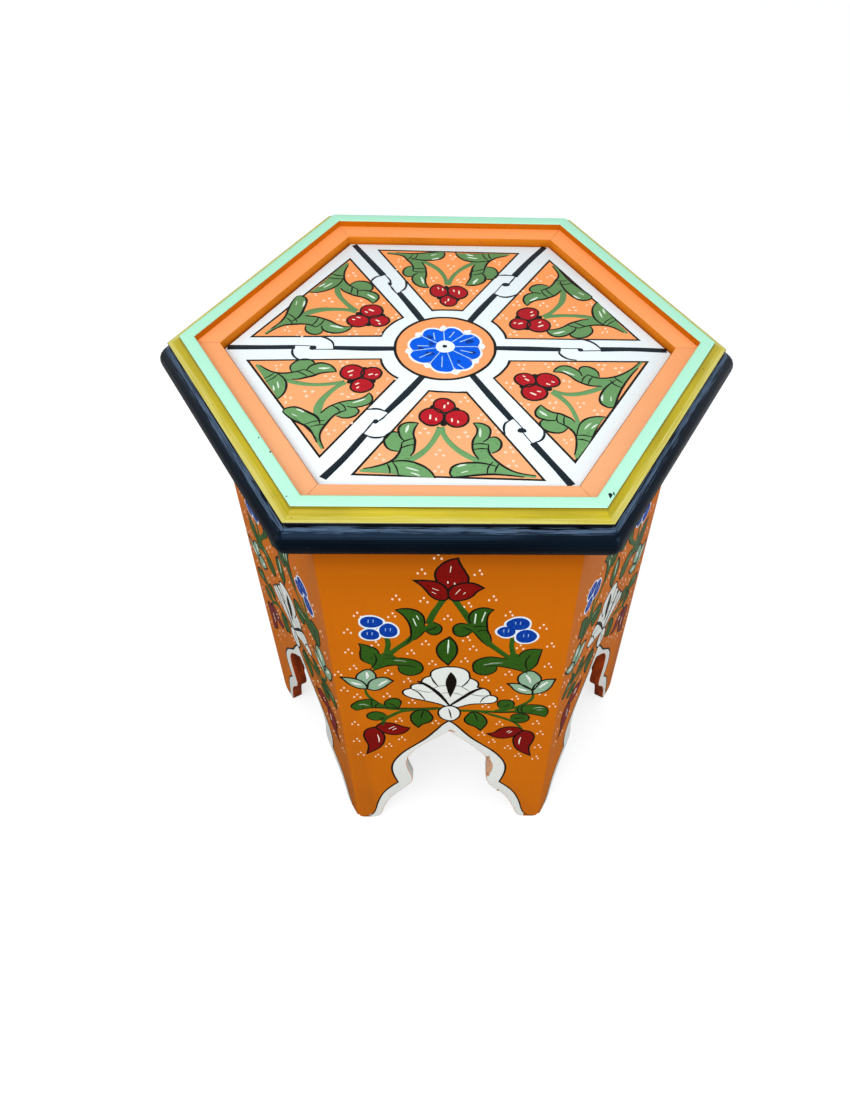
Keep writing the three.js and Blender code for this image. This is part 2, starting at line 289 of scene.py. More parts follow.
def enamel(key):
    """Oil enamel put on with a brush: a gloss film over wood, streaked by the bristles.

    The eye sees a soft sheen, long faint streaks along each side, and small specks of wear.
    Real bristle marks are about 0.3 mm apart, and they are drawn coarser, so that they show.
    """
    name = f"{key}_enamel"
    if name in bpy.data.materials:
        return bpy.data.materials[name]
    rough, sheen, mark, run, depth, speck, share = ENAMELS[key]
    colour = getattr(colours(), key)
    material, tree = new_material(name)
    place = add_node(tree, "ShaderNodeAttribute", {"attribute_name": BRUSH}).outputs["Vector"]
    along, across = 1 / (run * MM), 1 / (mark * MM)
    scale = (across, across, along) if key in UPRIGHT else (along, across, across)
    bristles = add_node(
        tree, "ShaderNodeMapping", {"Scale": scale}, {"Vector": place}
    ).outputs["Vector"]
    streaks = add_node(
        tree, "ShaderNodeTexNoise", {"Scale": 1.0, "Detail": 3.0, "Roughness": 0.6},
        {"Vector": bristles},
    ).outputs["Fac"]
    patches = add_node(
        tree, "ShaderNodeTexNoise", {"Scale": 1 / PATCH_SIZE, "Detail": 2.0},
        {"Vector": place},
    ).outputs["Fac"]
    blend = add_node(
        tree, "ShaderNodeMath", {"operation": "ADD"}, {0: streaks, 1: patches}
    ).outputs[0]
    spread = add_node(
        tree, "ShaderNodeMapRange", {"From Min": 0.7, "From Max": 1.3}, {"Value": blend}
    ).outputs[0]
    film = add_node(
        tree, "ShaderNodeMixRGB",
        {"Color1": tone(colour, 1 - depth), "Color2": tone(colour, 1 + depth * 0.5)},
        {"Fac": spread},
    ).outputs["Color"]
    # Painted light and shade by height, with an uneven brushy edge
    for start, end, code in PAINTED_SHADING.get(key, ()):
        height = add_node(tree, "ShaderNodeSeparateXYZ", None, {0: place}).outputs["Z"]
        uneven = add_node(
            tree, "ShaderNodeMath",
            {"operation": "MULTIPLY_ADD", 1: 2 * FADE_WAVER, 2: -FADE_WAVER}, {0: streaks},
        ).outputs[0]
        level = add_node(
            tree, "ShaderNodeMath", {"operation": "ADD"}, {0: height, 1: uneven}
        ).outputs[0]
        reach = add_node(
            tree, "ShaderNodeMapRange", {"From Min": start * MM, "From Max": end * MM},
            {"Value": level},
        ).outputs[0]
        film = add_node(
            tree, "ShaderNodeMixRGB", {"Color2": solid(code)}, {"Fac": reach, "Color1": film}
        ).outputs["Color"]
    # Painted light from front to back: paler at the front, deeper towards the back
    if key in PAINTED_FALLOFF:
        spot = add_node(tree, "ShaderNodeTexCoord").outputs["Object"]
        depth_in = add_node(tree, "ShaderNodeSeparateXYZ", None, {0: spot}).outputs["Y"]
        reach = add_node(
            tree, "ShaderNodeMapRange",
            {"From Min": FALLOFF_FRONT * MM, "From Max": FALLOFF_BACK * MM}, {"Value": depth_in},
        ).outputs[0]
        film = add_node(
            tree, "ShaderNodeMixRGB", {"Color2": solid(PAINTED_FALLOFF[key])},
            {"Fac": reach, "Color1": film},
        ).outputs["Color"]
    specks = add_node(
        tree, "ShaderNodeTexNoise", {"Scale": 1 / SPECK_SIZE, "Detail": 1.5}, {"Vector": place}
    ).outputs["Fac"]
    worn = add_node(
        tree, "ShaderNodeMapRange",
        {"From Min": 1 - share, "From Max": 1.05 - share, "To Max": 0.8}, {"Value": specks},
    ).outputs[0]
    surface = add_node(
        tree, "ShaderNodeMixRGB", {"Color2": solid(speck)}, {"Fac": worn, "Color1": film}
    ).outputs["Color"]
    gloss = add_node(
        tree, "ShaderNodeMapRange",
        {"From Min": 0.3, "From Max": 0.7, "To Min": rough - 0.06, "To Max": rough + 0.08},
        {"Value": patches},
    ).outputs[0]
    relief = add_node(
        tree, "ShaderNodeBump", {"Strength": 0.3, "Distance": BRISTLE_DEPTH},
        {"Height": streaks},
    ).outputs["Normal"]
    tint = solid(GLINTS.get(key, "#FFFFFF"))
    shader = add_node(
        tree, "ShaderNodeBsdfPrincipled",
        {"IOR": 1.5, "Specular IOR Level": sheen, "Specular Tint": tint},
        {"Base Color": surface, "Roughness": gloss, "Normal": relief},
    )
    add_node(tree, "ShaderNodeOutputMaterial", None, {"Surface": shader.outputs[0]})
    return material


def timber(name, colour, grain, rough, turn=0.0, laid=False):
    """Sawn softwood under a thin stain: growth rings cut lengthwise, with pores and a matt face.

    Growth rings are 2 to 4 mm apart, and the grain is stretched along the board.
    """
    material, tree = new_material(name)
    if laid:
        place = add_node(tree, "ShaderNodeAttribute", {"attribute_name": BRUSH}).outputs["Vector"]
    else:
        place = add_node(tree, "ShaderNodeTexCoord").outputs["Object"]
    turned = add_node(
        tree, "ShaderNodeMapping", {"Rotation": (0.0, 0.0, turn)}, {"Vector": place}
    ).outputs["Vector"]
    stretched = add_node(
        tree, "ShaderNodeMapping", {"Scale": tuple(1 / (g * MM) for g in grain)},
        {"Vector": turned},
    ).outputs["Vector"]
    rings = add_node(
        tree, "ShaderNodeTexNoise", {"Scale": 1.0, "Detail": 4.0, "Distortion": 0.6},
        {"Vector": stretched},
    ).outputs["Fac"]
    spread = add_node(
        tree, "ShaderNodeMapRange", {"From Min": 0.35, "From Max": 0.65}, {"Value": rings}
    ).outputs[0]
    face = add_node(
        tree, "ShaderNodeMixRGB", {"Color1": tone(colour, 0.55), "Color2": tone(colour, 1.2)},
        {"Fac": spread},
    ).outputs["Color"]
    relief = add_node(
        tree, "ShaderNodeBump", {"Strength": 0.5, "Distance": GRAIN_DEPTH}, {"Height": rings}
    ).outputs["Normal"]
    shader = add_node(
        tree, "ShaderNodeBsdfPrincipled",
        {"IOR": 1.5, "Specular IOR Level": 0.2, "Roughness": rough},
        {"Base Color": face, "Normal": relief},
    )
    add_node(tree, "ShaderNodeOutputMaterial", None, {"Surface": shader.outputs[0]})
    return material


def screw_steel():
    """Plain wood screw steel, rolled and turned: a dull grey metal with fine turning marks."""
    material, tree = new_material("screw_steel")
    place = add_node(tree, "ShaderNodeTexCoord").outputs["Object"]
    marks = add_node(
        tree, "ShaderNodeTexNoise", {"Scale": 1 / TURNING_MARK, "Detail": 3.0},
        {"Vector": place},
    ).outputs["Fac"]
    face = add_node(
        tree, "ShaderNodeMixRGB", {"Color1": solid("#6E7073"), "Color2": solid("#A4A6A8")},
        {"Fac": marks},
    ).outputs["Color"]
    gloss = add_node(
        tree, "ShaderNodeMapRange", {"To Min": 0.35, "To Max": 0.55}, {"Value": marks}
    ).outputs[0]
    shader = add_node(
        tree, "ShaderNodeBsdfPrincipled", {"Metallic": 1.0},
        {"Base Color": face, "Roughness": gloss},
    )
    add_node(tree, "ShaderNodeOutputMaterial", None, {"Surface": shader.outputs[0]})
    return material


# Handling pieces


def sizes():
    return bpy.context.scene.kursi_sizes


def colours():
    return bpy.context.scene.kursi_colours


def pick(*pieces):
    """Selects these pieces alone and makes the first one active."""
    bpy.ops.object.select_all(action="DESELECT")
    for piece in pieces:
        piece.select_set(True)
    bpy.context.view_layer.objects.active = pieces[0]


@contextmanager
def edit_mode(piece, select="SELECT"):
    """Opens a piece in edit mode, with all or none of it selected, or what already was."""
    pick(piece)
    bpy.ops.object.mode_set(mode="EDIT")
    if select:
        bpy.ops.mesh.select_all(action=select)
    yield
    bpy.ops.object.mode_set(mode="OBJECT")


def duplicate(source, name):
    """A copy of a piece, with a mesh of its own."""
    piece = source.copy()
    piece.data = source.data.copy()
    piece.name = name
    bpy.context.scene.collection.objects.link(piece)
    return piece


def weld(piece, gap=1e-7):
    """Joins a piece's doubled points and turns its faces outwards."""
    with edit_mode(piece):
        bpy.ops.mesh.remove_doubles(threshold=gap)
        bpy.ops.mesh.normals_make_consistent(inside=False)
    if sum(face.area * face.normal.dot(face.center) for face in piece.data.polygons) < 0:
        piece.data.flip_normals()


def settle(piece):
    """Applies a piece's place to its mesh, so that its object sits at the origin."""
    pick(piece)
    bpy.ops.object.transform_apply(location=True, rotation=True, scale=True)


def smooth(piece, degrees):
    """Shades a piece smooth, except at edges sharper than this."""
    pick(piece)
    bpy.ops.object.shade_smooth_by_angle(angle=math.radians(degrees))


def turn_to(side):
    """The turn that carries a piece from the front side to another one."""
    return Matrix.Rotation(SIDE_TURN * (side - 1), 4, "Z")


def side_of(point):
    """The number of the side that a point lies towards."""
    return round((math.atan2(point.y, point.x) + math.pi / 2) / SIDE_TURN) % 6 + 1


def lay_brush(piece, side=None):
    """Notes where each corner of each face would be on the front side.

    Materials read it, so brush marks and grain run the same way on every side. Each side's
    places are moved along, so that no two sides have the same marks.
    """
    mesh = piece.data
    laid = mesh.attributes.new(BRUSH, "FLOAT_VECTOR", "CORNER")
    places = [Vector()] * len(mesh.loops)
    turns = {n: turn_to(n).inverted() for n in SIDES}
    for face in mesh.polygons:
        number = side or side_of(face.center)
        shift = Vector((0.37 * number, 0.0, 0.0))
        for corner in face.loop_indices:
            point = mesh.vertices[mesh.loops[corner].vertex_index].co
            places[corner] = turns[number] @ point + shift
    laid.data.foreach_set("vector", [c for place in places for c in place])


def hand_over(piece, slot, *nodes):
    """Rides a piece on the stool and hides the CAD nodes that it stands for. The slot is not used.
    """
    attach(piece, "root")
    if nodes:
        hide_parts(*nodes)


def finish_faces(piece, materials, choose):
    """Gives each face the material that choose names for its middle and its normal, as seen
    from the front side."""
    names = list(materials)
    piece.data.materials.clear()
    for name in names:
        piece.data.materials.append(materials[name])
    for face in piece.data.polygons:
        back = turn_to(side_of(face.center)).inverted()
        name = choose(back @ face.center, back.to_3x3() @ face.normal)
        face.material_index = names.index(name)


# Curves that paint and mouldings are made from


TIP = "sharp"
PROFILE = "brush_line_section"


def tips(points):
    """Marks every point of an outline as a sharp corner."""
    return [(x, y, TIP) for x, y in points]


def curve_through(name, points, closed, steps=5):
    """A flat curve through points in millimetres. A point marked TIP is a sharp corner."""
    curve = bpy.data.curves.new(name, "CURVE")
    curve.dimensions = "2D"
    curve.resolution_u = steps
    curve.fill_mode = "NONE"
    spline = curve.splines.new("BEZIER")
    spline.bezier_points.add(len(points) - 1)
    for knot, point in zip(spline.bezier_points, points):
        knot.co = (point[0] * MM, point[1] * MM, 0.0)
        knot.handle_left_type = knot.handle_right_type = "VECTOR" if len(point) > 2 else "AUTO"
    spline.use_cyclic_u = closed
    made = bpy.data.objects.new(name, curve)
    bpy.context.scene.collection.objects.link(made)
    return made


def hexagon_ring(name, section, corner, corner_steps):
    """Spins a moulding's section, in millimetres out and up, round the six sides.

    The section stands at a corner of the hexagon, so it is stretched outwards there. Its joints
    are rounded by a bevel.
    """
    stretched = tips((x * CORNER_REACH, y) for x, y in section)
    ring = curve_through(name, stretched, True, 1)
    ring.rotation_euler.x = math.pi / 2
    pick(ring)
    bpy.ops.object.convert(target="MESH")
    settle(ring)
    with edit_mode(ring):
        bpy.ops.mesh.spin(steps=6, angle=2 * math.pi, center=(0, 0, 0), axis=(0, 0, 1))
    weld(ring, 1e-6)
    mesh = ring.data

    def at_corner(index):
        point = mesh.vertices[index].co
        share = math.atan2(point.y, point.x) / SIDE_TURN
        return abs(share - round(share)) < 1e-4

    with edit_mode(ring, "DESELECT"):
        bpy.ops.mesh.select_mode(type="EDGE")
    for edge in mesh.edges:
        edge.select = all(at_corner(i) for i in edge.vertices)
    with edit_mode(ring, None):
        bpy.ops.mesh.bevel(offset=corner, segments=corner_steps, affect="EDGES")
    weld(ring, 1e-6)
    return ring


# Painted shapes, in millimetres. On a side board they are across from its middle and up from
# the floor. On the top they are across and out from the middle of the field.


# Each row is a paint, a coat and the outline of a filled shape
SIDE_PATCHES = (
    ("side_green", 2, (  # left curled leaf
        (-37.6, 335.4, TIP), (-32.1, 336.9), (-25, 335.7), (-20, 331.4), (-17.7, 325),
        (-17.9, 317.9), (-14, 315), (-13, 311), (-17.1, 309.7), (-20.7, 305), (-25, 299.3),
        (-30, 297.9, TIP), (-28.1, 302.1), (-27.6, 309.3), (-28.1, 316.4), (-30, 323.6),
        (-33.6, 330.7))),
    ("side_green", 2, (  # its lobe
        (-10.7, 321.1), (-6.4, 317.1), (-5.4, 312.1), (-7.9, 307.1), (-11.4, 305.7),
        (-15, 307.9), (-17, 312), (-15.5, 318))),
    ("side_green", 2, (  # right curled leaf
        (31.4, 335.7, TIP), (24.3, 338), (19.3, 336.4), (15, 331.4), (14.1, 325),
        (14.5, 318.6), (16, 311), (20, 305), (23.6, 298.6), (29.3, 291.4, TIP), (30.7, 300),
        (28.6, 306), (27.9, 310.7), (27.3, 316.4), (27.1, 325), (28.1, 330.7))),
    ("side_green", 2, (  # its lobe
        (13.1, 319), (7.9, 319.7), (3.6, 316.4), (2.9, 311.4), (4.3, 306.4), (8.9, 303.6),
        (13.1, 305.3), (17.5, 310), (16.5, 316))),
    ("side_green", 2, (  # left outer leaf
        (-66.4, 294.6, TIP), (-60, 292.1), (-54.3, 287.9), (-51.5, 280.7), (-50, 273),
        (-58, 261, TIP), (-60, 267.9), (-65.7, 273.6), (-66.4, 282.1), (-65.5, 289))),
    ("side_green", 2, (  # right outer leaf
        (69.3, 287.1, TIP), (61.4, 287.6), (55, 284.3), (52.1, 277.9), (50, 268),
        (60.7, 257, TIP), (62.9, 260.7), (66.4, 266.4), (68.1, 276.4))),
    ("side_green", 3, (  # left scroll leaf
        (-48.6, 275.9), (-39.3, 276.3), (-30.7, 275), (-23.6, 271.4), (-20.3, 265.7),
        (-20.4, 259.3), (-23.6, 255), (-30, 252.6), (-35.7, 255), (-38.3, 259.3),
        (-38.9, 265.9, TIP), (-45, 265.9), (-52.1, 262.9), (-58.6, 258.6, TIP),
        (-56.6, 265), (-52.6, 271.5))),
    ("side_green", 3, (  # right scroll leaf
        (44.3, 274.9), (37.9, 276.4), (30.7, 277.6), (23.6, 275), (18.9, 270),
        (18.3, 263.6), (20, 257.1), (26.4, 253.1), (32.1, 254.7), (36, 259.3),
        (36.7, 264.9, TIP), (42.1, 264), (50.7, 260.7), (60.7, 255.7, TIP), (56.4, 265),
        (50.5, 272))),
    ("side_green", 2, (  # left fork
        (-50.5, 282), (-43.5, 281.5), (-40, 276), (-48, 268), (-54, 266), (-54, 273))),
    ("side_green", 2, (  # right fork
        (43.5, 278), (50.6, 282), (54, 273), (55, 265), (48, 266), (42, 272))),
    ("side_green", 2, (  # left lower lobe
        (-52.1, 211), (-49.3, 217.1), (-42.9, 219.3), (-38.9, 215.7), (-39.3, 209.3),
        (-42.1, 202.3), (-49, 202), (-53, 205))),
    ("side_green", 2, (  # left lower leaf
        (-75.3, 200.7, TIP), (-79.2, 207), (-76.4, 212.1), (-70, 216.9), (-61, 217.1),
        (-55, 212), (-50, 205), (-58, 204), (-66.4, 204.3))),
    ("side_green", 2, (  # left round leaf
        (-60, 198.9), (-54.3, 197.1), (-51.3, 192.9), (-53, 187), (-59.3, 185.3),
        (-64.6, 187), (-67.4, 191.4), (-65.7, 196.4))),
    ("side_green", 2, (  # right lower lobe
        (39.3, 210.7), (40.7, 215), (45.7, 216.7), (51.4, 214.3), (53, 209),
        (50, 202), (44, 202), (40, 205.5))),
    ("side_green", 2, (  # right lower leaf
        (54, 203), (58, 207), (63, 209), (70.7, 209.2), (77.1, 207.1), (80.8, 202.1),
        (81.2, 195), (79.6, 190, TIP), (73.6, 192.9), (66.4, 195.3), (55, 197.5))),
    ("side_green", 2, (  # right round leaf
        (50.7, 190), (53.6, 194.3), (59.3, 195.3), (65, 192.9), (66.7, 188.6),
        (64.3, 182.9), (58.6, 181), (52.9, 183.4))),
    ("palmette", 2, (  # palmette
        (-1.4, 206.4, TIP), (-9.3, 211.4), (-20.7, 216.4), (-32.1, 221.4), (-36.6, 227.1),
        (-35.4, 231.5), (-30, 234.3, TIP), (-29.6, 238.3), (-25, 240.8), (-21.4, 240.6, TIP),
        (-21, 246), (-18.5, 249.5), (-14.4, 251.6, TIP), (-13.3, 258), (-7, 262.9),
        (0.7, 264.3), (8.6, 262.9), (14.5, 257.9), (16.3, 248.6, TIP), (20, 246),
        (22.9, 241.5), (22.6, 235.4, TIP), (28, 233.5), (32, 229), (33.4, 223.4, TIP),
        (37.1, 222), (39, 217.1), (36.4, 212.9), (28, 211.3), (17, 210), (7.9, 205.7, TIP))),
    ("side_black", 4, (  # its dark heart
        (1.3, 257.5, TIP), (4.6, 251), (6, 243.8), (5, 235.5), (1, 220.3, TIP),
        (-1.8, 234), (-2.6, 243.6), (-0.8, 252))),
)

# Filled shapes that have a line all round
SIDE_PETALS = (
    ("side_green", 2, (  # leaf over the palmette
        (0.3, 303.1, TIP), (-7.1, 295), (-9.3, 286.4), (-6.9, 276.4), (-0.7, 266.9, TIP),
        (5, 279.3), (6.1, 286.4), (4.3, 296.4))),
    ("tulip_red", 2, (  # tulip, middle petal
        (5.7, 391.1, TIP), (-0.7, 388.6), (-6.4, 382.9), (-9.3, 376.4), (-8.9, 368.6),
        (-4, 357), (5, 357), (12.9, 367.9), (10.4, 377.9), (7.3, 385))),
    ("tulip_red", 4, (  # left petal
        (-23.6, 367.9, TIP), (-15, 367.9), (-7.9, 366.1), (-2.9, 361.4), (-1, 355),
        (-1.9, 347.5), (-6.4, 346.7), (-11.4, 349.6), (-15, 355.7), (-18.6, 362.1))),
    ("tulip_red", 4, (  # right petal
        (23.6, 360, TIP), (17.9, 364.3), (12.1, 365.7), (5, 363.6), (0.4, 359.3),
        (-0.8, 353.6), (1.6, 347), (10, 347.1), (15.7, 350.7), (19.3, 356.4))),
    ("pale_green", 2, (  # left pale flower, middle petal
        (-61.4, 260.6), (-57.6, 256.4), (-56.6, 250), (-59.5, 242), (-64.3, 234, TIP),
        (-69, 241), (-71.9, 249), (-68.6, 256.4))),
    ("pale_green", 4, (
        (-83.9, 250, TIP), (-76.4, 249), (-69.3, 245.7), (-65, 239.3), (-64.3, 233.6, TIP),
        (-70.7, 234.3), (-77.1, 239.3), (-80.7, 245))),
    ("pale_green", 4, (
        (-43.6, 244.7, TIP), (-49.3, 249.6), (-56.4, 248.6), (-61.9, 243.6),
        (-64.3, 233.6, TIP), (-58.6, 231.4), (-52.1, 235), (-47.1, 240.7))),
    ("pale_green", 2, (  # right pale flower, middle petal
        (62.9, 258.6), (69.3, 253.6), (72, 247), (70.5, 240), (66.8, 231, TIP),
        (58, 238), (53.8, 246), (55.7, 254.3))),
    ("pale_green", 4, (
        (46.1, 240.7, TIP), (53.6, 240.7), (61.4, 236.4), (66.4, 229.3), (66.1, 225, TIP),
        (58.6, 226.4), (52.1, 231.4), (48.6, 237.1))),
    ("pale_green", 4, (
        (83.1, 247.1, TIP), (75.7, 246.4), (69.3, 241.4), (66.4, 233.6), (67.1, 225.7, TIP),
        (74.3, 227.9), (80, 235), (81.9, 241.4))),
    ("palmette", 4, (  # bead under the palmette
        (0.4, 208.1), (6.4, 204.6), (9.2, 197), (7, 188.6), (2, 184.8), (-4, 186.8),
        (-8.4, 194), (-7, 203.4))),
    ("side_green", 2, (  # left pointed leaf
        (-24, 201.4), (-30, 196.4), (-31.6, 187.9), (-29.3, 179.3), (-25.7, 173.6, TIP),
        (-22.1, 178.6), (-15.7, 182.9), (-13.4, 189.3), (-15, 195), (-18.4, 200.7))),
    ("side_green", 2, (  # right pointed leaf
        (20, 198.4), (14.8, 192.4), (12.9, 185.7), (15.7, 179.3), (22.1, 174.3),
        (26.4, 168.6, TIP), (29.3, 173.6), (31.7, 180.7), (30, 188.9), (25.4, 195.6))),
    ("tulip_red", 2, (  # right lower flower
        (32.9, 162.9, TIP), (37.9, 164.5), (43.6, 171.4), (52.1, 174.1), (59.3, 172.1),
        (62.9, 167.9, TIP), (57.9, 160.7), (52.1, 156.4), (45, 155.1), (37.9, 157.9))),
    ("tulip_red", 4, (
        (62.9, 168.4, TIP), (69.3, 165.7), (72.9, 159.3), (72.4, 150.7), (70, 139.3),
        (71.9, 124.3, TIP), (65, 130), (59.3, 136.4), (56.1, 146.4), (55.7, 156))),
    ("tulip_red", 2, (  # left lower flower
        (-32.9, 172.9, TIP), (-38.6, 175), (-45, 179.3), (-51, 181.3), (-57, 180),
        (-61.5, 174, TIP), (-56.5, 166.5), (-49.3, 162.1), (-42.1, 162.1), (-36.4, 166.4))),
    ("tulip_red", 4, (
        (-61.5, 174.4, TIP), (-68, 171.5), (-71.8, 164), (-71.5, 154), (-69.5, 144),
        (-71.5, 129, TIP), (-64.5, 135), (-58.6, 142), (-55.4, 152), (-55.2, 162))),
)

